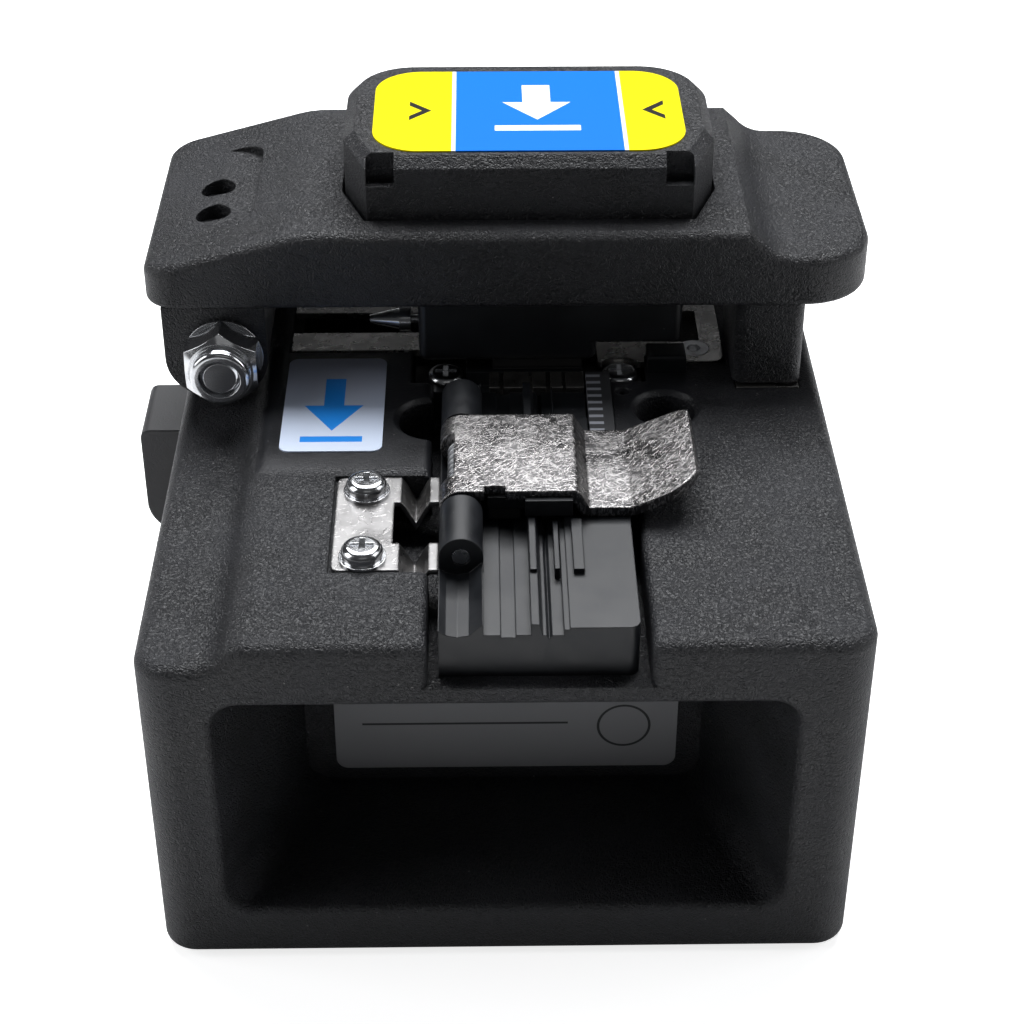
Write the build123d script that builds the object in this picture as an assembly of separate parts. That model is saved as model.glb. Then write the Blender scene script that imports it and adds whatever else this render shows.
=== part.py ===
"""Desktop cleaver for optical fibre: cast body, sliding blade, lift-out fibre adapter and clamping lever.

Millimetres. +X right, +Y to the back, +Z up. The origin is the middle of the footprint on the resting plane.
The fibre lies along Y, the blade slides along X, and the lever swings up about an axis along Y.
"""
from build123d import *
from math import cos, radians, sin, sqrt
import os

os.makedirs("parts", exist_ok=True)

# Cast body
BODY_W = 64.0
BODY_H = 36.0
CORNER_R = 3.2
TOP_EDGE_R = 1.2
BOTTOM_EDGE_R = 0.8
WALL = 4.0
STRIP_W = 5.5
STRIP_RISE_W = 4.6
STRIP_DROP = 2.3
CEILING = 2.4

# Rubber base pad and bottom cover
PAD_PROUD = 0.6
BASE_PAD_T = 1.2
BASE_PAD_W = 40.0
BASE_PAD_R = 4.0
COVER_T = 2.5
COVER_GAP = 0.15
LEDGE_W = 2.0
COVER_BOSS_R = 3.6
COVER_SCREW_R = 1.5
COVER_SCREW_L = 8.0

# Front pocket and its label
POCKET_W = 51.3
POCKET_ROOF = 6.4
POCKET_DEPTH = 17.0
POCKET_X = 0.0
POCKET_SILL = 5.4
POCKET_H = BODY_H - POCKET_SILL - POCKET_ROOF
POCKET_DRAFT_X = 6.6
POCKET_DRAFT_Z = 1.1
POCKET_R = 2.5
POCKET_LIP_R = 0.7
LABEL_T = 0.15
POCKET_LABEL_W = 33.0
POCKET_LABEL_H = 14.0
POCKET_LABEL_RISE = 1.4
POCKET_LABEL_SHIFT = 0.25

# Channel for the fibre adapter
CHANNEL_X = 2.9
CHANNEL_DEPTH = 4.5
CHANNEL_GAP = 0.95
CHANNEL_LIP_R = 0.8
ADAPTER_W = 17.3
ADAPTER_FRONT = 1.7
ADAPTER_L = 39.3
ADAPTER_WIDE_L = ADAPTER_L - 8.6
ADAPTER_H = 5.2
ADAPTER_END_GAP = 0.4
SEAT_FRONT = ADAPTER_FRONT + ADAPTER_L + ADAPTER_END_GAP
BLADE_Y = SEAT_FRONT + 13.8
BODY_D = BLADE_Y + 16.8
BASE_PAD_L = BODY_D - 12.0
SCALE_W = 2.4
SCALE_GAP = 0.2
SCALE_INSET = 0.4
SCALE_REAR = SEAT_FRONT + 2.2
FIBRE_X = 3.75
FIBRE_Z_ABOVE_TOP = 0.4

# Finger notches beside the channel and the oil hole
LEFT_NOTCH_R = 3.5
LEFT_NOTCH_Y = SEAT_FRONT - 5.15
RIGHT_NOTCH_R = 2.95
RIGHT_NOTCH_X = 16.2
RIGHT_NOTCH_Y = SEAT_FRONT - 3.55
NOTCH_RIM = 0.5
OIL_HOLE_X = 12.15
OIL_HOLE_Y = SEAT_FRONT - 0.4
OIL_HOLE_R = 0.35
OIL_RIM_R = 0.75
OIL_RIM_DEPTH = 0.2
OIL_HOLE_DEPTH = 2.0

# Leaf spring that holds the adapter, with its screws
LEAF_X0 = -15.35
LEAF_X1 = -10.0
LEAF_Y0 = 11.1
LEAF_Y1 = 25.8
LEAF_T = 0.5
LEAF_RECESS_GAP = 0.3
LEAF_POCKET_W = 3.6
LEAF_FINGER_W = 4.1
LEAF_V_DEPTH = 2.4
LEAF_V_W = 2.7
LEAF_V_OUT = 1.35
LEAF_TIP_GAP = 0.1
LEAF_SCREW_X = -12.6
LEAF_SCREW_INSET_FRONT = 1.8
LEAF_SCREW_INSET_REAR = 2.4
PAN_SCREW_R = 1.0
PAN_HEAD_R = 1.9
PAN_HEAD_H = 1.2
PAN_SCREW_L = 5.0
WASHER_T = 0.3
WASHER_R = 2.15
THREAD_FIT = 0.02

# Setting label on the top
SETTING_X = -16.38
SETTING_Y = SEAT_FRONT - 2.6
SETTING_W = 9.85
SETTING_L = 17.2
SETTING_R = 1.0

# Lower clamp seats, pads and the blade guard
SEAT_EAR_FRONT = SEAT_FRONT + 1.7
SEAT_REAR = SEAT_FRONT + 7.2
SEAT_EAR_X0 = -8.6
SEAT_EAR_X1 = 14.4
SEAT_EAR_H = 3.2
SEAT_GAP = 0.3
SEAT_SCREW_Y = SEAT_FRONT + 3.9
SEAT_SCREW_X0 = -5.5
SEAT_SCREW_X1 = 12.1
FACE_PLATE_T = 3.0
FACE_PLATE_W = 9.4
FACE_GROOVES = ((0.9, 0.5, 1.2), (3.9, 0.4, 0.5), (5.6, 0.5, 1.4), (7.2, 0.4, 1.2))
REAR_SEAT_FRONT = BLADE_Y + 6.1
REAR_SEAT_L = 6.2
PAD_W = 9.0
PAD_L = 3.4
PAD_T = 1.0
FRONT_PAD_BACK = 0.2
PAD_CLEAR = 0.1
PAD_BELOW_FIBRE = 0.05
SEAT_BELOW_PAD = 0.1
GUARD_X0 = -21.3
GUARD_X1 = 22.8
GUARD_STEP_X = 9.9
GUARD_STEP_L = 2.6
GUARD_FRONT = SEAT_REAR + 0.4
GUARD_REAR = BLADE_Y + 5.7
GUARD_T = 0.8
GUARD_PROUD = 0.2
GUARD_ARM_W = 2.2
GUARD_SLOT_FRONT = BLADE_Y - 2.7
GUARD_SLOT_STEP = 2.2
GUARD_SLOT_REAR = BLADE_Y + 1.5
GUARD_SCREW_FRONT_X = 19.9
GUARD_SCREW_INSET = 1.6
GUARD_SCREW_ROOM_R = 2.05
BLADE_SLOT_X0 = -20.4
BLADE_SLOT_X1 = 18.6
STOP_BLOCK_W = 3.9
STOP_BLOCK_L = 3.0
STOP_BLOCK_H = 1.9
STOP_BLOCK_X = 16.8
STOP_BLOCK_FRONT = SEAT_FRONT + 3.0

# Blade carriage and its rail
BLADE_R = 8.0
BLADE_T = 1.0
BLADE_BITE = 0.05
BLADE_HUB_R = 4.0
BLADE_HUB_T = 1.6
BLADE_BORE_R = 1.6
BLADE_STROKE = 7.0
INDEX_MARKS = 16
INDEX_MARK_R = 0.35
INDEX_MARK_OUT = 0.15
RUNNING_FIT = 0.05
RAIL_W = 7.0
RAIL_H = 4.6
RAIL_L = 46.0
RAIL_SCREW_PITCH = 15.0
RAIL_SCREW_R = 1.2
RAIL_THREAD_L = 1.6
RAIL_HEAD_SINK = 2.4
RAIL_HEAD_H = 2.1
RAIL_GROOVE_R = 0.7
SLIDE_BLOCK_W = 17.0
SLIDE_BLOCK_L = 24.0
SLIDE_BLOCK_H = 6.5
SLIDE_BLOCK_RISE = 1.5
CARRIER_T = 3.0
CARRIER_W = 12.0
CARRIER_WALL_T = 2.2
CARRIER_WALL_W = 9.0
BLADE_ROOM = 0.5
AXLE_HEAD_R = 2.8
AXLE_HEAD_T = 1.4
BLADE_WASHER_R = 3.4
BLADE_WASHER_T = 0.5
KNOB_W = 9.2
KNOB_L = 12.0
KNOB_PROUD = 6.0
KNOB_RISE = 12.4
KNOB_BELOW_CEILING = 3.5
KNOB_GAP = 0.5
KNOB_SCREW_R = 1.5
KNOB_HEAD_R = 2.8
KNOB_HEAD_DEPTH = 3.0
KNOB_HEAD_SINK = 0.4
KNOB_UNDERCUT_R = 4.0
KNOB_TOP_R = 1.0
KNOB_THREAD_L = 2.8
CARRIER_FOOT_T = 3.0

# Lid of the adapter, its pin and pads
LID_FRONT = ADAPTER_FRONT + 16.3
LID_L = ADAPTER_L * 0.33
LID_T = 1.0
LID_PIN_X = -3.8
LID_PIN_RISE = 1.65
LID_PIN_R = 0.95
LID_TOP_END = 6.5
LID_STEP_RUN = 1.05
LID_FLAT_GAP = 0.1
LID_FLAT_END = 11.7
LID_TAB_END = 17.75
LID_TAB_RISE = 2.6
LID_TAB_FRONT_R = 4.2
LID_TAB_REAR_R = 1.9
LID_CURL_L = LID_L * 0.22
LID_WINDOW_BACK = 0.7
LID_NOTCH_W = 1.9
LID_NOTCH_D = 0.9
LUG_R = 1.95
LUG_RING_R = 1.25
LUG_RING_DEPTH = 0.3
FINS = ((2.25, 0.6, 9.2, 0.7), (4.45, 0.45, 9.8, 0.3), (6.1, 0.95, 9.4, 0.55))
LAND_LOW_X0 = 5.1
LAND_LOW_BACK = 4.0
FRONT_LUG_Y0 = 10.7
FRONT_LUG_Y1 = 17.6
REAR_LUG_Y1 = ADAPTER_FRONT + ADAPTER_L - 3.4
LUG_GAP = 0.35
LUG_PIN_R = 0.8
LID_PAD_GAP = 0.25
LID_HOLDER_T = 1.3
LID_HOLDER_X0 = -1.4
LID_HOLDER_X1 = 5.8
LID_HOLDER_FRONT = 0.5
LID_NOSE_X0 = 2.0
LID_NOSE_X1 = 6.3
LID_NOSE_L = 0.6
LID_NOSE_RISE = 0.35
LID_HOLDER_REAR = 1.2
LID_PAD_INSET = 0.1
LID_PADS_X = ((-1.3, 1.6), (3.4, 4.75))
PAD_LAND_DROP = 0.75
LID_MAGNET_R = 1.5
LID_MAGNET_T = 1.5
LID_SPRING_WIRE_R = 0.15
LID_SPRING_TURNS = 8

# Lever, hinge and closing post
LEVER_X0 = -34.7
LEVER_X1 = 36.4
LEVER_Y0 = SEAT_FRONT + 0.1
LEVER_Y1 = BLADE_Y + 15.8
LEVER_GAP = 9.2
LEVER_MID_T = 8.0
LEVER_LEFT_T = 3.9
LEVER_RIGHT_T = 5.3
LEVER_SLOPE_L1 = -19.5
LEVER_BROW_R = 12.0
LEVER_SLOPE_R0 = 24.0
LEVER_SLOPE_RUN = 1.4
LEVER_SLOPE_DROP = 1.25
LEVER_SLOPE_R1 = 28.5
LEVER_EDGE_R = 1.0
LEVER_LEFT_R = 3.0
LEVER_RIGHT_R = 6.5
HINGE_X = -27.25
HINGE_RISE = 4.05
EAR_X0 = -33.1
EAR_X1 = -23.0
EAR_Y0 = LEVER_Y0 + 0.5
EAR_Y1 = BLADE_Y + 3.0
EAR_R = 4.4
EAR_SCREW_X = -28.4
EAR_SCREW_Y0 = BLADE_Y - 4.0
EAR_SCREW_PITCH = 5.6
EAR_SCREW_R = 1.25
EAR_HEAD_R = 1.7
EAR_HEAD_H = 1.5
EAR_HEAD_SINK = 1.6
SPOT_RISE = 5.7
SPOT_W = 9.0
SPOT_Y0 = BLADE_Y - 7.6
SPOT_Y1 = BLADE_Y + 9.8
SPOT_R = 2.5
SPOT_RIGHT = -24.2
BOLT_R = 2.0
BOLT_HEAD_R = 3.5
BOLT_HEAD_H = 3.4
BOLT_SOCKET_R = 1.7
BOLT_SOCKET_DEPTH = 2.0
BOLT_PROUD = -0.3
BUSH_R = 3.0
BUSH_L = 5.0
HINGE_WASHER_R = 3.9
HINGE_WASHER_T = 0.5
NUT_AF = 7.0
NUT_H = 3.2
NUT_COLLAR_R = 2.9
NUT_COLLAR_H = 1.3
LUG_REAR_L = 8.0
LUG_TOP_R = 3.9
POST_X0 = 23.2
POST_W = 6.8
POST_Y0 = LEVER_Y0 + 0.4
POST_L = 12.0
POST_FOOT_GAP = 0.3
POST_EDGE_R = 1.2
POST_MAGNET_R = 2.0
POST_MAGNET_T = 2.0
POST_HEAD_DEPTH = 2.5
POST_HEAD_SINK = 0.3
POST_THREAD_L = 3.0
KEEPER_W = 6.2
KEEPER_L = 7.0
KEEPER_T = 1.0
KEEPER_PROUD = 0.05
KEEPER_INSET_X = 0.2
KEEPER_LEAD_Y = 0.4

# Press cap, anvil and clamp head under the lever
CAP_X0 = -15.2
CAP_X1 = 21.05
CAP_Y0 = BLADE_Y - 10.3
CAP_Y1 = BLADE_Y + 12.5
CAP_H = 6.3
CAP_SKIRT = 2.0
CAP_WALL = 1.8
CAP_TOP_T = 2.2
CAP_BEVEL = 1.05
CAP_FACET_X = 2.4
CAP_FACET_Y = 6.4
CAP_REAR_R = 6.8
CAP_GAP = 0.3
CAP_NOTCH_W = 2.7
CAP_NOTCH_H = 2.9
CAP_NOTCH_D = 1.6
CAP_POCKET_DEPTH = 4.0
CAP_STROKE = 1.6
CAP_LABEL_FRONT = 1.55
CAP_LABEL_REAR = 2.65
CAP_LABEL_SIDE = 2.9
CAP_LABEL_R = 4.6
STEM_R = 2.5
ANVIL_R = 3.4
ANVIL_H = 2.0
ANVIL_CLEAR = 0.15
CLIP_R = 3.9
CLIP_T = 0.5
CAP_SPRING_R = 2.0
CAP_SPRING_WIRE_R = 0.3
CAP_SPRING_TURNS = 7
CAP_SPRING_SPAN = 24.0
HEAD_X0 = -8.1
HEAD_X1 = 9.6
HEAD_STEP_X1 = 18.1
HEAD_STEP_H = 5.0
HEAD_Y0 = SEAT_FRONT + 2.3
HEAD_REAR = BLADE_Y + 13.2
HEAD_H = 7.4
HEAD_THREAD_L = 4.0
HEAD_NOSE_R = 0.9
HEAD_BORE_R = 4.4
HEAD_SCREW_R = 1.25
HOLDER_GAP = 0.1
HOLDER_H = 4.0
PAD_STROKE = 0.6
PIN_POINT_L = 3.0
PIN_POINT_R0 = 0.4
PIN_POINT_R1 = 1.1
PIN_DISC_R = 1.3
PIN_DISC_T = 1.2
PIN_NECK_L = 0.9
SPRING_SEAT_DEPTH = 2.0
PAD_SPRING_R = 1.2
PAD_SPRING_WIRE_R = 0.22
PAD_SPRING_TURNS = 4

# Places worked out from the sizes
LEFT = -BODY_W / 2
RIGHT = BODY_W / 2
FRONT = -BODY_D / 2
BASE_Z = PAD_PROUD
TOP_Z = BASE_Z + BODY_H
STRIP_Z = TOP_Z - STRIP_DROP
FLOOR_Z = TOP_Z - CHANNEL_DEPTH
CHANNEL_X0 = CHANNEL_X - ADAPTER_W / 2 - CHANNEL_GAP
CHANNEL_X1 = CHANNEL_X + ADAPTER_W / 2 + CHANNEL_GAP
ADAPTER_X0 = CHANNEL_X - ADAPTER_W / 2
ADAPTER_X1 = CHANNEL_X + ADAPTER_W / 2
ADAPTER_TOP = FLOOR_Z + ADAPTER_H
SCALE_X0 = ADAPTER_X1 - SCALE_W - SCALE_GAP - SCALE_INSET
SCALE_X1 = SCALE_X0 + SCALE_W
FIBRE_Z = TOP_Z + FIBRE_Z_ABOVE_TOP
PAD_TOP_Z = FIBRE_Z - PAD_BELOW_FIBRE
CAVITY_Z = FLOOR_Z - CEILING
LID_PIN_Z = TOP_Z + LID_PIN_RISE
LID_CURL_R = LID_PIN_R + RUNNING_FIT + LID_T
LEVER_Z = TOP_Z + LEVER_GAP
LEVER_TOP = LEVER_Z + LEVER_MID_T
SPOT_Z = LEVER_Z + SPOT_RISE
HINGE_Z = TOP_Z + HINGE_RISE
CAP_TOP = LEVER_TOP + CAP_H
CAP_BOTTOM = LEVER_TOP - CAP_SKIRT
CAP_FLOOR_Z = LEVER_TOP - CAP_POCKET_DEPTH
CAP_INNER_Z = CAP_TOP - CAP_TOP_T
COVER_TOP = BASE_Z + COVER_T
RAIL_TOP = COVER_TOP + RAIL_H
BLOCK_Z = COVER_TOP + SLIDE_BLOCK_RISE
BLOCK_TOP = BLOCK_Z + SLIDE_BLOCK_H
CARRIER_TOP = BLOCK_TOP + CARRIER_T
BLADE_X = FIBRE_X - BLADE_STROKE / 2
BLADE_Z = FIBRE_Z + BLADE_BITE - BLADE_R
CARRIAGE_X = -BLADE_STROKE / 2
KNOB_INNER = BODY_W / 2 + KNOB_PROUD - BLADE_STROKE / 2 - KNOB_L
KNOB_Z = BASE_Z + KNOB_RISE
KNOB_H = CAVITY_Z - KNOB_BELOW_CEILING - KNOB_Z
CAVITY_Y0 = POCKET_DEPTH + WALL


def y_at(depth):
    """Part-frame Y of a place that lies a depth behind the front face."""
    return FRONT + depth


def block(x0, x1, y0, y1, z0, z1):
    """Rectangular block; Y is given as depths behind the front face."""
    size = Box(x1 - x0, y1 - y0, z1 - z0)
    return Pos((x0 + x1) / 2, y_at((y0 + y1) / 2), (z0 + z1) / 2) * size


def rod_x(y, z, x0, x1, radius):
    """Round bar along X."""
    return Pos((x0 + x1) / 2, y_at(y), z) * Rot(0, 90, 0) * Cylinder(radius, x1 - x0)


def rod_y(x, z, y0, y1, radius):
    """Round bar along Y."""
    return Pos(x, y_at((y0 + y1) / 2), z) * Rot(90, 0, 0) * Cylinder(radius, y1 - y0)


def rod_z(x, y, z0, z1, radius):
    """Round bar along Z."""
    return Pos(x, y_at(y), (z0 + z1) / 2) * Cylinder(radius, z1 - z0)


def section_along_y(face, y0, y1):
    """Solid of an X, Z section drawn as X, Y, carried from depth y0 to depth y1."""
    return Pos(0, y_at(y1), 0) * Rot(90, 0, 0) * extrude(face, y1 - y0)


def plan_prism(face, z0, z1):
    """Solid of a plan outline between two heights."""
    return Pos(0, 0, z0) * extrude(face, z1 - z0)


def outline(points):
    """Closed face through corner points."""
    return make_face(Polyline(*points, close=True))


def rounded_plan(x0, x1, y0, y1, radius):
    """Plan rectangle with round corners; Y is given as depths."""
    face = RectangleRounded(x1 - x0, y1 - y0, radius)
    return Pos((x0 + x1) / 2, y_at((y0 + y1) / 2)) * face


def edges_at(shape, axis, along, tests):
    """Edges parallel to an axis whose middle lies at the coordinates in tests, given as (x, y or z, value)."""
    found = shape.edges().filter_by(axis)
    kept = []
    for edge in found:
        middle = edge.position_at(0.5)
        place = {"x": middle.X, "y": middle.Y, "z": middle.Z}
        if all(abs(place[name] - value) < along for name, value in tests):
            kept.append(edge)
    return kept


def coil_sleeve(middle_r, wire_r, turns, length):
    """Coil spring as one closed solid along Z: a thin sleeve with a round bead for each turn."""
    pitch = length / turns
    inner = middle_r - wire_r
    sleeve = Cylinder(middle_r, length) - Cylinder(inner, length + 1)
    for turn in range(turns):
        bead = Pos(0, 0, (turn + 0.5) * pitch - length / 2) * Torus(middle_r, wire_r)
        sleeve += bead
    return sleeve - Cylinder(inner, length + 1)


def pan_screw(x, y, seat_z, length, shank_r=PAN_SCREW_R, head_r=PAN_HEAD_R, head_h=PAN_HEAD_H):
    """Cross-slotted pan-head screw standing on seat_z, pointing down."""
    head = rod_z(x, y, seat_z, seat_z + head_h, head_r)
    head = fillet(head.edges().group_by(Axis.Z)[-1], head_h * 0.6)
    slot_l = head_r * 1.1
    slot_w = head_r * 0.28
    slot_z = seat_z + head_h * 0.45
    for long_x, long_y in ((slot_l, slot_w), (slot_w, slot_l)):
        head -= block(x - long_x / 2, x + long_x / 2, y - long_y / 2, y + long_y / 2, slot_z, seat_z + head_h)
    return head + rod_z(x, y, seat_z - length, seat_z, shank_r)


def countersunk_screw(radius, head_r, length):
    """Flat-head hex-socket screw with its head at Z 0, pointing down."""
    cone = Pos(0, 0, -(head_r - radius) / 2) * Cone(radius, head_r, head_r - radius)
    shank = Pos(0, 0, -length / 2) * Cylinder(radius, length)
    socket_depth = (head_r - radius) * 0.9
    socket = Pos(0, 0, -socket_depth) * extrude(RegularPolygon(radius * 0.75, 6), socket_depth)
    return cone + shank - socket


def countersink(radius, head_r, length, clearance):
    """Space that a countersunk screw needs, with its mouth at Z 0, pointing down."""
    depth = head_r - radius
    cone = Pos(0, 0, -depth / 2) * Cone(radius + clearance, head_r + clearance, depth)
    hole = Pos(0, 0, -length / 2) * Cylinder(radius + clearance, length)
    return cone + hole


def four_corners(half_x, y0, y1):
    """Four places, as x and depth, at the corners of a rectangle that is centred on X 0."""
    return [(x, y) for x in (-half_x, half_x) for y in (y0, y1)]


def base_pad_plan(extra):
    """Plan outline of the rubber base pad, grown by extra."""
    half_x = BASE_PAD_W / 2 + extra
    y0 = (BODY_D - BASE_PAD_L) / 2 - extra
    return rounded_plan(-half_x, half_x, y0, BODY_D - y0, BASE_PAD_R + extra)


def base_pad_recess():
    """Shallow recess across the casting and the cover that holds the base pad."""
    return plan_prism(base_pad_plan(COVER_GAP), 0, BASE_PAD_T)


def cover_box():
    """Edges of the bottom cover's recess: half width, front depth and rear depth."""
    half_x = BODY_W / 2 - WALL + LEDGE_W
    return half_x, CAVITY_Y0 - LEDGE_W, BODY_D - WALL + LEDGE_W


def cover_screw_places():
    """Places of the screws that hold the bottom cover."""
    half_x, y0, y1 = cover_box()
    inset = COVER_BOSS_R + 1.0
    return four_corners(half_x - inset, y0 + inset, y1 - inset)


def casting_section():
    """Cross-section of the casting: a block whose left strip lies lower, joined by an S-shaped rise."""
    rise_x0 = LEFT + STRIP_W
    rise_x1 = rise_x0 + STRIP_RISE_W
    middle = ((rise_x0 + rise_x1) / 2, (STRIP_Z + TOP_Z) / 2)
    lower = TangentArc((rise_x0, STRIP_Z), middle, tangent=(1, 0))
    upper = TangentArc((rise_x1, TOP_Z), middle, tangent=(-1, 0))
    straight = Polyline(
        (rise_x1, TOP_Z), (RIGHT, TOP_Z), (RIGHT, BASE_Z), (LEFT, BASE_Z), (LEFT, STRIP_Z), (rise_x0, STRIP_Z)
    )
    return make_face([lower, upper, straight])


def pocket_solid():
    """Hollow of the front pocket, which narrows towards its back wall."""
    middle_z = BASE_Z + POCKET_SILL + POCKET_H / 2
    mouth = Plane(origin=(POCKET_X, FRONT, middle_z), x_dir=(1, 0, 0), z_dir=(0, -1, 0))
    rear_h = POCKET_H - 2 * POCKET_DRAFT_Z
    rear = Plane(origin=(POCKET_X, y_at(POCKET_DEPTH), middle_z), x_dir=(1, 0, 0), z_dir=(0, -1, 0))
    front_face = mouth * RectangleRounded(POCKET_W, POCKET_H, POCKET_R)
    rear_face = rear * RectangleRounded(POCKET_W - 2 * POCKET_DRAFT_X, rear_h, POCKET_R)
    return loft([front_face, rear_face])


def channel_hollow():
    """Hollow for the adapter: wide at the front, narrower beside the length scale."""
    wide = block(CHANNEL_X0, CHANNEL_X1, -1, ADAPTER_FRONT + ADAPTER_WIDE_L + SCALE_GAP, FLOOR_Z, TOP_Z + 1)
    narrow = block(CHANNEL_X0, SCALE_X1 + 0.1, 1, SEAT_EAR_FRONT, FLOOR_Z, TOP_Z + 1)
    return wide + narrow


def seat_hollows():
    """Hollows for the two lower clamp seats."""
    x0 = SEAT_EAR_X0 - SEAT_GAP
    x1 = SEAT_EAR_X1 + SEAT_GAP
    front = block(x0, x1, SEAT_EAR_FRONT - SEAT_GAP, SEAT_REAR + 1, FLOOR_Z, TOP_Z + 1)
    rear_y0 = REAR_SEAT_FRONT - SEAT_GAP
    rear = block(x0, x1, rear_y0, REAR_SEAT_FRONT + REAR_SEAT_L + SEAT_GAP, FLOOR_Z, TOP_Z + 1)
    return front + rear


def blade_hollow():
    """Opening through the top for the blade and its carrier, below the guard plate."""
    rear = BLADE_Y + BLADE_T / 2 + BLADE_HUB_T + CARRIER_WALL_T + BLADE_ROOM
    front = BLADE_Y - BLADE_T / 2 - RUNNING_FIT - BLADE_WASHER_T - AXLE_HEAD_T - BLADE_ROOM
    return block(BLADE_SLOT_X0, BLADE_SLOT_X1, front, rear, CAVITY_Z - 1, TOP_Z + 1)


def leaf_hollow():
    """Recess of the leaf spring's plate and the deeper pocket where its fingers bend down."""
    gap = LEAF_RECESS_GAP
    recess_z = TOP_Z - LEAF_T
    pocket_x0 = CHANNEL_X0 - LEAF_POCKET_W
    recess = block(LEAF_X0 - gap, pocket_x0 + 1, LEAF_Y0 - gap, LEAF_Y1 + gap, recess_z, TOP_Z + 1)
    pocket = block(pocket_x0, CHANNEL_X0 + 1, LEAF_Y0 - gap, LEAF_Y1 + gap, FLOOR_Z, TOP_Z + 1)
    return recess + pocket


def finger_notches():
    """Round notches where the adapter is gripped to lift it out."""
    cuts = []
    for x, y, radius in ((CHANNEL_X0 + 0.2, LEFT_NOTCH_Y, LEFT_NOTCH_R), (RIGHT_NOTCH_X, RIGHT_NOTCH_Y, RIGHT_NOTCH_R)):
        rim = Cone(radius, radius + NOTCH_RIM, NOTCH_RIM)
        cuts.append(rod_z(x, y, FLOOR_Z, TOP_Z + 1, radius))
        cuts.append(Pos(x, y_at(y), TOP_Z - NOTCH_RIM / 2) * rim)
    return cuts


def hinge_lug():
    """Fixed lug at the rear left that carries the hinge bolt, round about the bolt."""
    y0 = EAR_Y1 + HINGE_WASHER_T
    y1 = y0 + LUG_REAR_L
    foot = block(HINGE_X - LUG_TOP_R, HINGE_X + LUG_TOP_R, y0, y1, STRIP_Z - 1, HINGE_Z)
    return foot + rod_y(HINGE_X, HINGE_Z, y0, y1, LUG_TOP_R)


def guard_recess():
    """Shallow recess in which the guard plate lies."""
    gap = COVER_GAP
    low = TOP_Z + GUARD_PROUD - GUARD_T
    main = block(GUARD_X0 - gap, GUARD_X1 + gap, GUARD_FRONT - gap, GUARD_REAR + gap, low, TOP_Z + 1)
    front = GUARD_FRONT - GUARD_STEP_L - gap
    return main + block(GUARD_STEP_X - gap, GUARD_X1 + gap, front, GUARD_FRONT, low, TOP_Z + 1)


def knob_windows():
    """Windows in both side walls for the slider's end knobs."""
    y0 = BLADE_Y - KNOB_W / 2 - KNOB_GAP
    y1 = BLADE_Y + KNOB_W / 2 + KNOB_GAP
    z0 = KNOB_Z - KNOB_GAP
    return block(LEFT - 2, RIGHT + 2, y0, y1, z0, KNOB_Z + KNOB_H + KNOB_GAP)


def keeper_box(extra):
    """Place of the keeper plate under the closing post, grown by extra on its sides."""
    x1 = POST_X0 + POST_W - KEEPER_INSET_X
    y0 = POST_Y0 - KEEPER_LEAD_Y
    return (x1 - KEEPER_W - extra, x1 + extra, y0 - extra, y0 + KEEPER_L + extra)


def casting_outside():
    """Outer form of the casting with its rounded edges and the channel, before the smaller cuts."""
    solid = section_along_y(casting_section(), 0, BODY_D)
    corners = solid.edges().filter_by(Axis.Z)
    solid = fillet(corners, CORNER_R)
    solid = fillet(solid.faces().sort_by(Axis.Z)[0].edges(), BOTTOM_EDGE_R)
    side_top = [face for face in solid.faces() if face.normal_at().Z > 0.2]
    rim = []
    for face in side_top:
        for edge in face.edges():
            middle = edge.position_at(0.5)
            inside_x = abs(middle.X) < BODY_W / 2 - CORNER_R
            inside_y = abs(middle.Y) < BODY_D / 2 - CORNER_R
            if not (inside_x and inside_y):
                rim.append(edge)
    solid = fillet(rim, TOP_EDGE_R)
    solid -= channel_hollow()
    lips = edges_at(solid, Axis.Y, 0.01, [("x", CHANNEL_X0), ("z", TOP_Z)])
    lips += edges_at(solid, Axis.Y, 0.01, [("x", CHANNEL_X1), ("z", TOP_Z)])
    return fillet(lips, CHANNEL_LIP_R)


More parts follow.
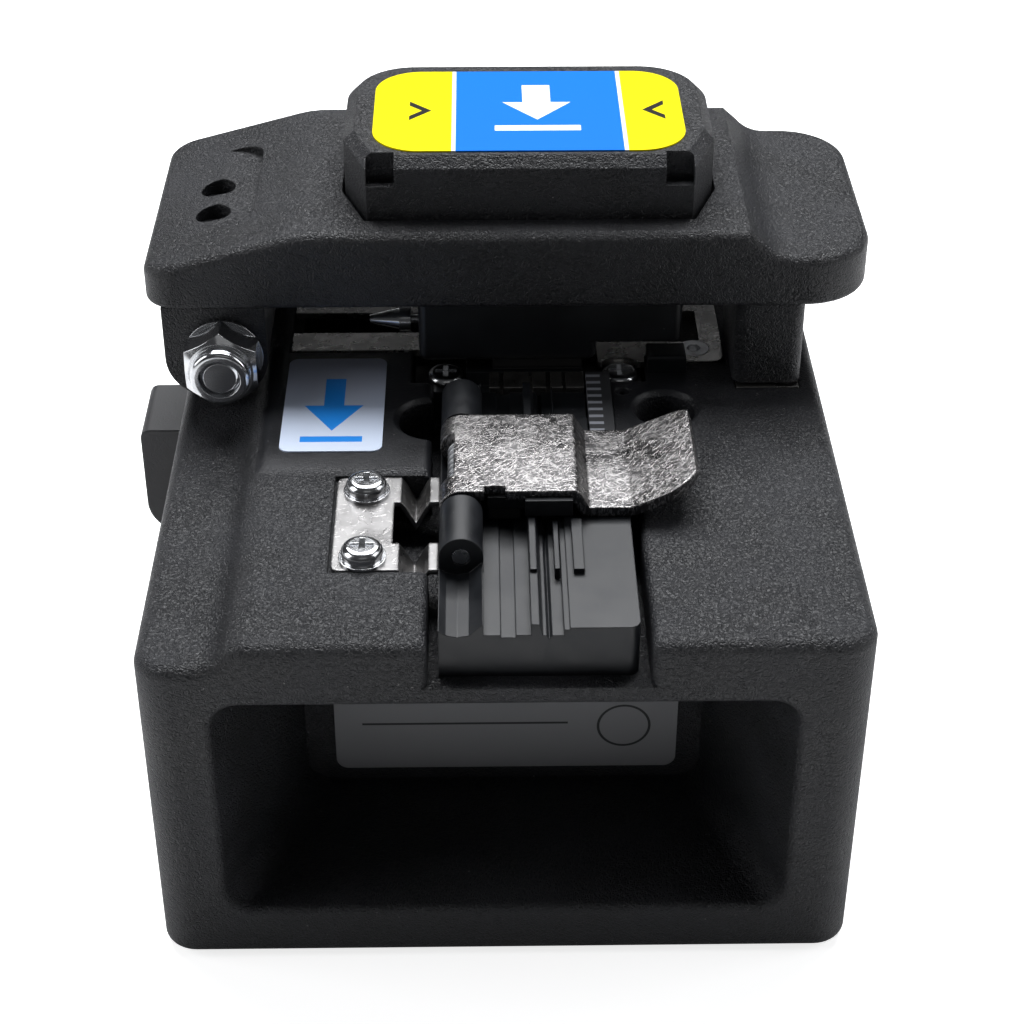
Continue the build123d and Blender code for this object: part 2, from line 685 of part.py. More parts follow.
def body_casting():
    """Cast body with the front pocket, the channel, the blade hollow and the hinge lug."""
    solid = casting_outside()
    solid -= pocket_solid()
    mouth = [edge for edge in solid.faces().sort_by(Axis.Y)[0].inner_wires()[0].edges()]
    solid = fillet(mouth, POCKET_LIP_R)
    cavity = block(LEFT + WALL, RIGHT - WALL, CAVITY_Y0, BODY_D - WALL, BASE_Z - 1, CAVITY_Z)
    for x, y in cover_screw_places():
        cavity -= rod_z(x, y, BASE_Z - 1, CAVITY_Z + 1, COVER_BOSS_R)
    solid -= cavity
    half_x, cover_y0, cover_y1 = cover_box()
    solid -= block(-half_x, half_x, cover_y0, cover_y1, BASE_Z - 1, COVER_TOP)
    for x, y in cover_screw_places():
        solid -= rod_z(x, y, BASE_Z, COVER_TOP + COVER_SCREW_L, COVER_SCREW_R + THREAD_FIT)
    solid -= base_pad_recess()
    solid += hinge_lug()
    solid -= rod_y(HINGE_X, HINGE_Z, EAR_Y1, EAR_Y1 + LUG_REAR_L + 2, BOLT_R + RUNNING_FIT)
    solid -= seat_hollows()
    solid -= blade_hollow()
    solid -= guard_recess()
    solid -= leaf_hollow()
    for cut in finger_notches():
        solid -= cut
    solid -= knob_windows()
    solid -= rod_z(OIL_HOLE_X, OIL_HOLE_Y, TOP_Z - OIL_HOLE_DEPTH, TOP_Z + 1, OIL_HOLE_R)
    solid -= rod_z(OIL_HOLE_X, OIL_HOLE_Y, TOP_Z - OIL_RIM_DEPTH, TOP_Z + 1, OIL_RIM_R)
    for y in leaf_screw_places():
        solid -= rod_z(LEAF_SCREW_X, y, TOP_Z - LEAF_T - PAN_SCREW_L - 1, TOP_Z, PAN_SCREW_R + THREAD_FIT)
    for x, y, z in seat_screw_places():
        solid -= rod_z(x, y, z - PAN_SCREW_L - 1, z, PAN_SCREW_R + THREAD_FIT)
    for x, y in guard_screw_places():
        solid -= rod_z(x, y, TOP_Z - PAN_SCREW_L - 1, TOP_Z, PAN_SCREW_R + THREAD_FIT)
    x0, x1, y0, y1 = keeper_box(COVER_GAP)
    solid -= block(x0, x1, y0, y1, TOP_Z - KEEPER_T, TOP_Z + 1)
    return solid


def bottom_cover():
    """Flat cover plate that closes the casting and carries the rail."""
    half_x, y0, y1 = cover_box()
    gap = COVER_GAP
    plate = block(-half_x + gap, half_x - gap, y0 + gap, y1 - gap, BASE_Z, COVER_TOP)
    for x, y in cover_screw_places():
        cut = countersink(COVER_SCREW_R, COVER_SCREW_R * 2, COVER_T + 2, 0.05)
        plate -= Pos(x, y_at(y), BASE_Z) * Rot(180, 0, 0) * cut
    for x in rail_screw_places():
        plate -= rod_z(x, BLADE_Y, COVER_TOP - RAIL_THREAD_L, COVER_TOP + 1, RAIL_SCREW_R + THREAD_FIT)
    return plate - base_pad_recess()


def cover_screws():
    """Four flat-head screws that hold the bottom cover."""
    screw = countersunk_screw(COVER_SCREW_R, COVER_SCREW_R * 2, COVER_T + COVER_SCREW_L - 1)
    return [Pos(x, y_at(y), BASE_Z) * Rot(180, 0, 0) * screw for x, y in cover_screw_places()]


def base_pad():
    """Rubber pad on which the cleaver rests, sunk into the underside."""
    pad = plan_prism(base_pad_plan(0), 0, BASE_PAD_T)
    return fillet(pad.edges().group_by(Axis.Z)[0], PAD_PROUD * 0.5)


def pocket_label():
    """Thin label plate on the back wall of the front pocket."""
    z0 = BASE_Z + POCKET_SILL + POCKET_DRAFT_Z + POCKET_LABEL_RISE
    face = RectangleRounded(POCKET_LABEL_W, POCKET_LABEL_H, 1.2)
    plate = Rot(90, 0, 0) * extrude(face, LABEL_T)
    return Pos(POCKET_X + POCKET_LABEL_SHIFT, y_at(POCKET_DEPTH), z0 + POCKET_LABEL_H / 2) * plate


def setting_label():
    """Thin label on the top, left of the adapter."""
    face = rounded_plan(
        SETTING_X - SETTING_W / 2, SETTING_X + SETTING_W / 2,
        SETTING_Y - SETTING_L / 2, SETTING_Y + SETTING_L / 2, SETTING_R,
    )
    return plan_prism(face, TOP_Z, TOP_Z + LABEL_T)


def leaf_screw_places():
    """Depths of the two screws of the leaf spring."""
    return [LEAF_Y0 + LEAF_SCREW_INSET_FRONT, LEAF_Y1 - LEAF_SCREW_INSET_REAR]


def leaf_finger(y0):
    """One finger: a strip that dips in a V and ends beside the adapter."""
    top = TOP_Z
    low = top - LEAF_T
    tip = ADAPTER_X0 - LEAF_TIP_GAP
    v_mid = CHANNEL_X0 - LEAF_V_OUT
    half = LEAF_V_W / 2
    knee = LEAF_V_DEPTH * 0.25
    upper = [
        (LEAF_X1 - 0.5, top), (v_mid - half, top), (v_mid - half * 0.7, top - knee), (v_mid, top - LEAF_V_DEPTH),
        (v_mid + half * 0.7, top - knee), (v_mid + half, top), (tip, top),
    ]
    lower = [
        (tip, low), (v_mid + half + 0.1, low), (v_mid + half * 0.7 + 0.2, low - knee), (v_mid, low - LEAF_V_DEPTH - 0.3),
        (v_mid - half * 0.7 - 0.2, low - knee), (v_mid - half - 0.1, low),
    ]
    face = outline(upper + lower + [(LEAF_X1 - 0.5, low)])
    return section_along_y(face, y0, y0 + LEAF_FINGER_W)


def leaf_spring():
    """Spring plate with two fingers that hold the adapter sideways."""
    plate = block(LEAF_X0, LEAF_X1, LEAF_Y0, LEAF_Y1, TOP_Z - LEAF_T, TOP_Z)
    plate = fillet(plate.edges().filter_by(Axis.Z).group_by(Axis.X)[0], 0.8)
    plate += leaf_finger(LEAF_Y0)
    plate += leaf_finger(LEAF_Y1 - LEAF_FINGER_W)
    for y in leaf_screw_places():
        plate -= rod_z(LEAF_SCREW_X, y, TOP_Z - 2, TOP_Z + 1, PAN_SCREW_R + RUNNING_FIT)
    return plate


def leaf_washers():
    """Washers under the leaf spring's screws."""
    rings = []
    for y in leaf_screw_places():
        ring = rod_z(LEAF_SCREW_X, y, TOP_Z, TOP_Z + WASHER_T, WASHER_R)
        rings.append(ring - rod_z(LEAF_SCREW_X, y, TOP_Z - 1, TOP_Z + 1, PAN_SCREW_R + RUNNING_FIT))
    return rings


def leaf_screws():
    """Two pan-head screws of the leaf spring."""
    seat = TOP_Z + WASHER_T
    return [pan_screw(LEAF_SCREW_X, y, seat, PAN_SCREW_L + LEAF_T) for y in leaf_screw_places()]


def adapter_section():
    """Stepped top of the adapter, seen from the front: fibre grooves between a low rib and the right-hand land."""
    steps = [
        (0, -0.25), (0.65, -0.7), (1.65, -0.95), (2.65, -0.75), (3.85, 0.4), (3.85, -0.75), (5.35, -0.75),
        (5.35, -1.0), (6.65, -1.0), (6.65, -0.75), (7.95, -0.75), (7.95, 0.4), (8.65, 0.35), (8.95, -0.8),
        (9.25, -0.8), (9.5, -1.2), (9.75, -0.8), (10.75, -0.8), (10.75, -0.2), (11.25, -0.2), (11.25, 0),
    ]
    top = [(ADAPTER_X0 + x, ADAPTER_TOP + z) for x, z in steps]
    return outline(top + [(ADAPTER_X1, ADAPTER_TOP), (ADAPTER_X1, FLOOR_Z), (ADAPTER_X0, FLOOR_Z)])


def lug_section():
    """Section of a hinge lug: round about the pin, with a foot that joins the adapter's top."""
    eye = Pos(LID_PIN_X, LID_PIN_Z) * Circle(LUG_R)
    foot_h = LID_PIN_Z - FLOOR_Z - 1
    return eye + Pos(LID_PIN_X, LID_PIN_Z - foot_h / 2) * Rectangle(2 * LUG_R, foot_h)


def adapter_base():
    """Fibre adapter: grooved block with the two lugs of the lid's hinge and three short fins."""
    y0 = ADAPTER_FRONT
    y1 = y0 + ADAPTER_L
    body = section_along_y(adapter_section(), y0, y1)
    body -= block(SCALE_X0 - SCALE_GAP, ADAPTER_X1 + 1, y0 + ADAPTER_WIDE_L, y1 + 1, FLOOR_Z - 1, ADAPTER_TOP + 2)
    front_corners = edges_at(body, Axis.Z, 0.01, [("x", ADAPTER_X1), ("y", y_at(y0))])
    body = fillet(front_corners, 1.0)
    for fin_x, fin_w, fin_y, rise in FINS:
        body += block(fin_x, fin_x + fin_w, fin_y, LID_FRONT - LID_NOSE_L - 0.3, ADAPTER_TOP - 2, ADAPTER_TOP + rise)
    low_y0 = LID_FRONT + LID_L + LAND_LOW_BACK
    body -= block(LAND_LOW_X0, SCALE_X0, low_y0, y1 + 1, ADAPTER_TOP - PAD_LAND_DROP, ADAPTER_TOP + 2)
    body -= rod_y(LID_PIN_X, LID_PIN_Z, FRONT_LUG_Y0 - 1, FRONT_LUG_Y0 + LUG_RING_DEPTH, LUG_RING_R)
    body += section_along_y(lug_section(), FRONT_LUG_Y0, FRONT_LUG_Y1)
    body += section_along_y(lug_section(), LID_FRONT + LID_L + LUG_GAP, REAR_LUG_Y1)
    relief_y1 = LID_FRONT + LID_L + LUG_GAP
    body -= rod_y(LID_PIN_X, LID_PIN_Z, FRONT_LUG_Y1, relief_y1, LID_CURL_R + 0.2)
    body -= rod_y(LID_PIN_X, LID_PIN_Z, FRONT_LUG_Y0 - 1, REAR_LUG_Y1 + 1, LUG_PIN_R + RUNNING_FIT)
    body -= rod_z(lid_magnet_x(), lid_magnet_y(), ADAPTER_TOP - LID_MAGNET_T, ADAPTER_TOP + 1, LID_MAGNET_R + 0.05)
    return body


def lid_magnet_x():
    """Magnet under the middle of the lid's lower flat."""
    return (LID_TOP_END + LID_STEP_RUN + LID_FLAT_END) / 2


def lid_magnet_y():
    """Depth of the magnet, under the middle of the lid."""
    return LID_FRONT + LID_L / 2


def lid_magnet():
    """Disc magnet in the adapter that holds the lid shut."""
    return rod_z(lid_magnet_x(), lid_magnet_y(), ADAPTER_TOP - LID_MAGNET_T, ADAPTER_TOP, LID_MAGNET_R)


def lid_pin():
    """Hinge pin of the lid: full size between the lugs, stepped down inside them."""
    rear = LID_FRONT + LID_L + LUG_GAP
    pin = rod_y(LID_PIN_X, LID_PIN_Z, FRONT_LUG_Y0 + 0.05, REAR_LUG_Y1 - 0.3, LUG_PIN_R)
    return pin + rod_y(LID_PIN_X, LID_PIN_Z, FRONT_LUG_Y1 + 0.05, rear - 0.05, LID_PIN_R)


def lid_spring_span():
    """Start and length of the window in which the lid's spring sits."""
    start = LID_FRONT + LID_CURL_L + 0.3
    return start, LID_L - 2 * LID_CURL_L - 0.6


def lid_spring_middle_r():
    """Middle radius of the lid's spring, just clear of the pin."""
    return LID_PIN_R + 0.06 + LID_SPRING_WIRE_R


def lid_spring():
    """Torsion spring around the lid's pin."""
    start, length = lid_spring_span()
    coil = coil_sleeve(lid_spring_middle_r(), LID_SPRING_WIRE_R, LID_SPRING_TURNS, length)
    return Pos(LID_PIN_X, y_at(start + length / 2), LID_PIN_Z) * Rot(90, 0, 0) * coil


def lid_line():
    """Middle line of the lid's sheet, seen from the front, from the curl to the tip of the thumb tab."""
    middle_r = LID_CURL_R - LID_T / 2
    start = (LID_PIN_X + middle_r * cos(radians(250)), LID_PIN_Z + middle_r * sin(radians(250)))
    side = (LID_PIN_X - middle_r, LID_PIN_Z)
    crown = (LID_PIN_X, LID_PIN_Z + middle_r)
    flat_z = ADAPTER_TOP + LID_FLAT_GAP + LID_T / 2
    step_x = LID_TOP_END + LID_STEP_RUN
    return [
        ThreePointArc(start, side, crown),
        Line(crown, (LID_TOP_END, crown[1])),
        Line((LID_TOP_END, crown[1]), (step_x, flat_z)),
        Line((step_x, flat_z), (LID_FLAT_END, flat_z)),
        Line((LID_FLAT_END, flat_z), (LID_TAB_END, flat_z + LID_TAB_RISE)),
    ]


def adapter_lid():
    """Stamped lid: curled round the pin, flat over the fibre, stepped down to a thumb tab that turns up."""
    lines = lid_line()
    sheet = Sketch() + [trace(line, LID_T) for line in lines]
    rounds = [Pos(*(lines[i] @ 1)) * Circle(LID_T / 2) for i in (1, 2, 3)]
    solid = section_along_y(sheet + rounds, LID_FRONT, LID_FRONT + LID_L)
    y0 = y_at(LID_FRONT)
    y1 = y_at(LID_FRONT + LID_L)
    end = LID_TAB_END + 0.4
    plan = make_face(Polyline((LID_PIN_X - 4, y0), (end, y0), (end, y1), (LID_PIN_X - 4, y1), close=True))
    corners = plan.vertices().group_by(Axis.X)[-1].sort_by(Axis.Y)
    plan = fillet(corners[0], LID_TAB_FRONT_R)
    plan = fillet(plan.vertices().filter_by_position(Axis.X, end - 0.01, end + 0.01).sort_by(Axis.Y)[-1], LID_TAB_REAR_R)
    solid = solid & plan_prism(plan, FLOOR_Z, LID_PIN_Z + 12)
    start, length = lid_spring_span()
    window = block(LID_PIN_X - 3, LID_PIN_X - LID_WINDOW_BACK, start - 0.3, start + length + 0.3, LID_PIN_Z - 3, LID_PIN_Z + 3)
    solid -= window
    room_r = lid_spring_middle_r() + LID_SPRING_WIRE_R + 0.06
    solid -= rod_y(LID_PIN_X, LID_PIN_Z, start - 0.05, start + length + 0.05, room_r)
    notch_x = LID_PIN_X + 2.1
    return solid - block(notch_x, notch_x + LID_NOTCH_W, LID_FRONT - 1, LID_FRONT + LID_NOTCH_D, FLOOR_Z, LID_PIN_Z + 3)


def lid_holder():
    """Black holder riveted under the lid, which carries the pads."""
    top = LID_PIN_Z + LID_CURL_R - LID_T
    y1 = LID_FRONT + LID_L - LID_HOLDER_REAR
    low = top - LID_HOLDER_T
    y0 = LID_FRONT + LID_HOLDER_FRONT
    holder = block(LID_HOLDER_X0, LID_HOLDER_X1, y0, y1, low, top)
    nose_y1 = LID_FRONT - 0.05
    nose = block(LID_NOSE_X0, LID_NOSE_X1, nose_y1 - LID_NOSE_L, nose_y1, low, top + LID_NOSE_RISE)
    return holder + nose + block(LID_NOSE_X0, LID_HOLDER_X1, nose_y1 - LID_NOSE_L, y0 + 0.5, low, top)


def lid_pads():
    """Two rubber pads that press on the fibre."""
    top = LID_PIN_Z + LID_CURL_R - LID_T - LID_HOLDER_T
    y0 = LID_FRONT + LID_HOLDER_FRONT + LID_PAD_INSET
    y1 = LID_FRONT + LID_L - LID_HOLDER_REAR - LID_PAD_INSET
    low = ADAPTER_TOP - PAD_LAND_DROP + LID_PAD_GAP
    return [block(x0, x1, y0, y1, low, top) for x0, x1 in LID_PADS_X]


def length_scale():
    """Graduated strip beside the adapter."""
    return block(SCALE_X0, SCALE_X1, ADAPTER_FRONT + ADAPTER_WIDE_L + SCALE_GAP, SCALE_REAR, FLOOR_Z, ADAPTER_TOP)


def seat_screw_places():
    """Screws of both lower seats as x, depth and seat height."""
    z = FLOOR_Z + SEAT_EAR_H
    rear_y = REAR_SEAT_FRONT + REAR_SEAT_L / 2
    places = []
    for x in (SEAT_SCREW_X0, SEAT_SCREW_X1):
        places += [(x, SEAT_SCREW_Y, z), (x, rear_y, z)]
    return places


def pad_box(y_middle):
    """Plan of a clamp pad over the fibre: x0, x1, y0, y1."""
    return FIBRE_X - PAD_W / 2, FIBRE_X + PAD_W / 2, y_middle - PAD_L / 2, y_middle + PAD_L / 2


def pad_middles():
    """Depths of the front and rear clamp pads."""
    front = (SEAT_FRONT + FACE_PLATE_T + SEAT_REAR) / 2 + FRONT_PAD_BACK
    return front, REAR_SEAT_FRONT + REAR_SEAT_L / 2


def lower_seat(y0, y1, pad_y, ear_y0):
    """One lower clamp seat: a low bar with screw ears and a raised middle that holds the pad."""
    middle_x0 = seat_screw_places()[0][0] + PAN_HEAD_R + 0.2
    middle_x1 = SCALE_X0 - SCALE_GAP
    top = PAD_TOP_Z - SEAT_BELOW_PAD
    seat = block(SEAT_EAR_X0, SEAT_EAR_X1, ear_y0, y1, FLOOR_Z, FLOOR_Z + SEAT_EAR_H)
    seat += block(middle_x0, middle_x1, y0, y1, FLOOR_Z, top)
    x0, x1, pad_y0, pad_y1 = pad_box(pad_y)
    seat -= block(x0, x1, pad_y0, pad_y1, PAD_TOP_Z - PAD_T, PAD_TOP_Z + 1)
    for x, y, z in seat_screw_places():
        if ear_y0 < y < y1:
            seat -= rod_z(x, y, FLOOR_Z - 1, z + 1, PAN_SCREW_R + RUNNING_FIT)
    gap = SEAT_GAP
    return seat - block(SCALE_X0 - gap, SCALE_X1 + gap, ADAPTER_FRONT, SCALE_REAR + gap, FLOOR_Z - 1, TOP_Z + 2)


def lower_seat_front():
    """Lower clamp seat in front of the blade."""
    y0 = SEAT_FRONT + FACE_PLATE_T
    seat = lower_seat(y0, SEAT_REAR, pad_middles()[0], SEAT_EAR_FRONT)
    x1 = SCALE_X0 - SCALE_GAP
    return seat - block(x1 - FACE_PLATE_W, x1, SEAT_FRONT, y0, FLOOR_Z - 1, TOP_Z + 2)


def lower_seat_rear():
    """Lower clamp seat behind the blade."""
    return lower_seat(REAR_SEAT_FRONT, REAR_SEAT_FRONT + REAR_SEAT_L, pad_middles()[1], REAR_SEAT_FRONT)


def lower_pads():
    """Rubber pads in the two lower seats."""
    pads = []
    for y in pad_middles():
        x0, x1, y0, y1 = pad_box(y)
        pads.append(block(x0, x1, y0, y1, PAD_TOP_Z - PAD_T, PAD_TOP_Z))
    return pads


def seat_screws():
    """Pan-head screws of the two lower seats."""
    return [pan_screw(x, y, z, PAN_SCREW_L) for x, y, z in seat_screw_places()]


def seat_face_plate():
    """Bright grooved plate on the front of the lower seat, in line with the adapter's grooves."""
    x1 = SCALE_X0 - SCALE_GAP
    x0 = x1 - FACE_PLATE_W
    top = PAD_TOP_Z - SEAT_BELOW_PAD
    plate = block(x0, x1, SEAT_FRONT, SEAT_FRONT + FACE_PLATE_T, FLOOR_Z, top)
    for groove_x, groove_w, depth in FACE_GROOVES:
        plate -= block(
            x0 + groove_x, x0 + groove_x + groove_w, SEAT_FRONT - 1, SEAT_REAR, top - depth, top + 1
        )
    return plate


def guard_screw_places():
    """Screws of the blade guard, in opposite corners of its rim."""
    return [
        (GUARD_SCREW_FRONT_X, GUARD_FRONT), (GUARD_X0 + GUARD_SCREW_INSET, GUARD_REAR - GUARD_SCREW_INSET - 0.2),
    ]


def blade_guard():
    """Bright plate over the blade: a J round the slot, which is open at the left, with room for a seat screw."""
    top = TOP_Z + GUARD_PROUD
    step_y = GUARD_FRONT - GUARD_STEP_L
    arm_x = GUARD_X1 - GUARD_ARM_W
    corners = [
        (GUARD_X0, GUARD_FRONT), (GUARD_STEP_X, GUARD_FRONT), (GUARD_STEP_X, step_y), (GUARD_X1, step_y),
        (GUARD_X1, GUARD_REAR), (GUARD_X0, GUARD_REAR), (GUARD_X0, GUARD_SLOT_REAR), (arm_x, GUARD_SLOT_REAR),
        (arm_x, GUARD_SLOT_FRONT - GUARD_SLOT_STEP), (GUARD_STEP_X, GUARD_SLOT_FRONT - GUARD_SLOT_STEP),
        (GUARD_STEP_X - 1.5, GUARD_SLOT_FRONT), (GUARD_X0, GUARD_SLOT_FRONT),
    ]
    face = outline([(x, y_at(y)) for x, y in corners])
    outer = [v for v in face.vertices() if abs(v.X - GUARD_X1) < 0.01]
    face = fillet(outer, 1.2)
    plate = plan_prism(face, top - GUARD_T, top)
    plate -= rod_z(SEAT_SCREW_X1, SEAT_SCREW_Y, top - 2, top + 1, GUARD_SCREW_ROOM_R)
    x0, x1, y0, y1 = stop_block_box()
    gap = COVER_GAP
    plate -= block(x0 - gap, x1 + gap, y0 - gap, y1 + gap, top - 2, top + 1)
    for x, y in guard_screw_places():
        plate -= Pos(x, y_at(y), top) * countersink(PAN_SCREW_R, PAN_SCREW_R * 1.6, 3, 0.03)
    return plate


def guard_screws():
    """Flat-head screws of the blade guard."""
    top = TOP_Z + GUARD_PROUD
    screw = countersunk_screw(PAN_SCREW_R, PAN_SCREW_R * 1.6, PAN_SCREW_L)
    return [Pos(x, y_at(y), top) * screw for x, y in guard_screw_places()]


def stop_block_box():
    """Plan of the stop block: x0, x1, y0, y1."""
    x0 = STOP_BLOCK_X - STOP_BLOCK_W / 2
    return x0, x0 + STOP_BLOCK_W, STOP_BLOCK_FRONT, STOP_BLOCK_FRONT + STOP_BLOCK_L


def stop_block():
    """Small dark block on the top, in front of the blade."""
    x0, x1, y0, y1 = stop_block_box()
    body = block(x0, x1, y0, y1, TOP_Z, TOP_Z + STOP_BLOCK_H)
    body += block(x0, x1, GUARD_FRONT - GUARD_STEP_L, y1, TOP_Z + GUARD_PROUD - GUARD_T, TOP_Z + STOP_BLOCK_H)
    return fillet(body.edges().group_by(Axis.Z)[-1], 0.4)


def keeper_plate():
    """Steel plate in the top, under the closing post."""
    x0, x1, y0, y1 = keeper_box(0)
    return block(x0, x1, y0, y1, TOP_Z - KEEPER_T, TOP_Z + KEEPER_PROUD)


def rail_screw_places():
    """Places along X of the rail's screws."""
    return [-RAIL_SCREW_PITCH, 0, RAIL_SCREW_PITCH]


def linear_rail():
    """Miniature rail on the cover, with a groove along each side."""
    half = RAIL_W / 2
    rail = block(-RAIL_L / 2, RAIL_L / 2, BLADE_Y - half, BLADE_Y + half, COVER_TOP, RAIL_TOP)
    for side in (-1, 1):
        rail -= rod_x(BLADE_Y + side * half, COVER_TOP + RAIL_H * 0.62, -RAIL_L, RAIL_L, RAIL_GROOVE_R)
    for x in rail_screw_places():
        rail -= rod_z(x, BLADE_Y, COVER_TOP - 1, RAIL_TOP + 1, RAIL_SCREW_R + RUNNING_FIT)
        rail -= rod_z(x, BLADE_Y, RAIL_TOP - RAIL_HEAD_SINK, RAIL_TOP + 1, RAIL_SCREW_R * 1.8 + RUNNING_FIT)
    return rail


def rail_screws():
    """Socket-head screws of the rail."""
    screws = []
    low = RAIL_TOP - RAIL_HEAD_SINK
    for x in rail_screw_places():
        head = rod_z(x, BLADE_Y, low, low + RAIL_HEAD_H, RAIL_SCREW_R * 1.8)
        head -= rod_z(x, BLADE_Y, RAIL_TOP - 1.5, RAIL_TOP, RAIL_SCREW_R * 0.8)
        screws.append(head + rod_z(x, BLADE_Y, COVER_TOP - RAIL_THREAD_L + 0.1, low, RAIL_SCREW_R))
    return screws


def slide_block():
    """Ball-bearing block that runs along the rail."""
    x0 = CARRIAGE_X - SLIDE_BLOCK_L / 2
    half = SLIDE_BLOCK_W / 2
    body = block(x0, x0 + SLIDE_BLOCK_L, BLADE_Y - half, BLADE_Y + half, BLOCK_Z, BLOCK_TOP)
    half_rail = RAIL_W / 2 + RUNNING_FIT
    body -= block(x0 - 1, x0 + SLIDE_BLOCK_L + 1, BLADE_Y - half_rail, BLADE_Y + half_rail, COVER_TOP, RAIL_TOP + 0.1)
    body = fillet(body.edges().filter_by(Axis.X).group_by(Axis.Z)[-1], 0.6)
    for x, y in carrier_screw_places():
        body -= rod_z(x, y, BLOCK_TOP - 2.5, BLOCK_TOP + 1, PAN_SCREW_R + THREAD_FIT)
    return body


def carrier_screw_places():
    """Screws that join the carrier to the slide block, as x and depth."""
    places = []
    for side_x in (-1, 1):
        for side_y in (-1, 1):
            places.append((CARRIAGE_X + side_x * (SLIDE_BLOCK_L / 2 - 1.7), BLADE_Y + side_y * CARRIER_W * 0.34))
    return places


def blade_carrier():
    """Bar across the slide block with an upright wall that holds the blade's axle."""
    x0 = CARRIAGE_X - KNOB_INNER
    x1 = CARRIAGE_X + KNOB_INNER
    half = CARRIER_W / 2
    bar = block(x0, x1, BLADE_Y - half, BLADE_Y + half, BLOCK_TOP, CARRIER_TOP)
    wall_y0 = BLADE_Y + BLADE_T / 2 + BLADE_HUB_T
    wall = block(
        BLADE_X - CARRIER_WALL_W / 2, BLADE_X + CARRIER_WALL_W / 2, wall_y0, wall_y0 + CARRIER_WALL_T,
        CARRIER_TOP - 1, BLADE_Z,
    )
    wall += rod_y(BLADE_X, BLADE_Z, wall_y0, wall_y0 + CARRIER_WALL_T, CARRIER_WALL_W / 2)
    for end, side in ((x0, 1), (x1, -1)):
        foot = end + side * CARRIER_FOOT_T
        low, high = sorted((end, foot))
        bar += block(low, high, BLADE_Y - KNOB_W / 2, BLADE_Y + KNOB_W / 2, CARRIER_TOP - 1, KNOB_Z + KNOB_H)
    carrier = bar + wall
    carrier -= rod_y(BLADE_X, BLADE_Z, wall_y0 - 1, wall_y0 + 5, BLADE_BORE_R + THREAD_FIT)
    for x, y in carrier_screw_places():
        carrier -= rod_z(x, y, BLOCK_TOP - 1, CARRIER_TOP + 1, PAN_SCREW_R + RUNNING_FIT)
    for end in (x0, x1):
        carrier -= rod_x(BLADE_Y, knob_screw_z(), end - 3.5, end + 3.5, KNOB_SCREW_R + THREAD_FIT)
    return carrier


def carrier_screws():
    """Pan-head screws of the carrier."""
    return [pan_screw(x, y, CARRIER_TOP, CARRIER_T + 2) for x, y in carrier_screw_places()]


def knob_screw_z():
    """Height of the knob's screw."""
    return KNOB_Z + KNOB_H * 0.62


def slider_knob(side):
    """End knob of the slider: a block whose lower outer edge is curved in."""
    inner = CARRIAGE_X + side * KNOB_INNER
    outer = inner + side * KNOB_L
    x0, x1 = sorted((inner, outer))
    knob = block(x0, x1, BLADE_Y - KNOB_W / 2, BLADE_Y + KNOB_W / 2, KNOB_Z, KNOB_Z + KNOB_H)
    index = 0 if side < 0 else -1
    outer_edges = knob.edges().filter_by(Axis.Y).group_by(Axis.X)[index].sort_by(Axis.Z)
    knob = fillet(outer_edges[0], KNOB_UNDERCUT_R)
    outer_top = knob.edges().filter_by(Axis.Y).group_by(Axis.Z)[-1].sort_by(Axis.X)[index]
    knob = fillet(outer_top, KNOB_TOP_R)
    z = knob_screw_z()
    knob -= rod_x(BLADE_Y, z, x0 - 1, x1 + 1, KNOB_SCREW_R + RUNNING_FIT)
    low, high = sorted((outer - side * KNOB_HEAD_DEPTH, outer + side))
    knob -= rod_x(BLADE_Y, z, low, high, KNOB_HEAD_R + RUNNING_FIT)
    return knob


def knob_screws():
    """Socket-head screws that hold the knobs to the carrier."""
    screws = []
    z = knob_screw_z()
    for side in (-1, 1):
        inner = CARRIAGE_X + side * KNOB_INNER
        outer = inner + side * KNOB_L
        head_x = sorted((outer - side * KNOB_HEAD_SINK, outer - side * KNOB_HEAD_DEPTH))
        socket_x = sorted((outer, outer - side * 1.9))
        shank_x = sorted((outer - side * KNOB_HEAD_DEPTH, inner - side * KNOB_THREAD_L))
        head = rod_x(BLADE_Y, z, head_x[0], head_x[1], KNOB_HEAD_R)
        head -= rod_x(BLADE_Y, z, socket_x[0], socket_x[1], KNOB_SCREW_R * 0.85)
        screws.append(head + rod_x(BLADE_Y, z, shank_x[0], shank_x[1], KNOB_SCREW_R))
    return screws


def blade_wheel():
    """Hard-metal blade wheel with a ground edge."""
    disc = Cylinder(BLADE_R, BLADE_T)
    disc = chamfer(disc.edges(), BLADE_T * 0.45, BLADE_T * 0.9)
    disc -= Cylinder(BLADE_BORE_R + RUNNING_FIT, BLADE_T + 1)
    return Pos(BLADE_X, y_at(BLADE_Y), BLADE_Z) * Rot(90, 0, 0) * disc


def blade_hub():
    """Hub disc behind the blade wheel, with its index marks."""
    y0 = BLADE_Y + BLADE_T / 2
    hub = rod_y(BLADE_X, BLADE_Z, y0, y0 + BLADE_HUB_T - RUNNING_FIT, BLADE_HUB_R)
    reach = BLADE_HUB_R + INDEX_MARK_OUT
    for mark in range(INDEX_MARKS):
        angle = radians(mark * 360 / INDEX_MARKS)
        place = (BLADE_X + reach * cos(angle), BLADE_Z + reach * sin(angle))
        hub -= rod_y(*place, y0 - 1, y0 + BLADE_HUB_T + 1, INDEX_MARK_R)
    return hub - rod_y(BLADE_X, BLADE_Z, y0 - 1, y0 + BLADE_HUB_T + 1, BLADE_BORE_R + RUNNING_FIT)


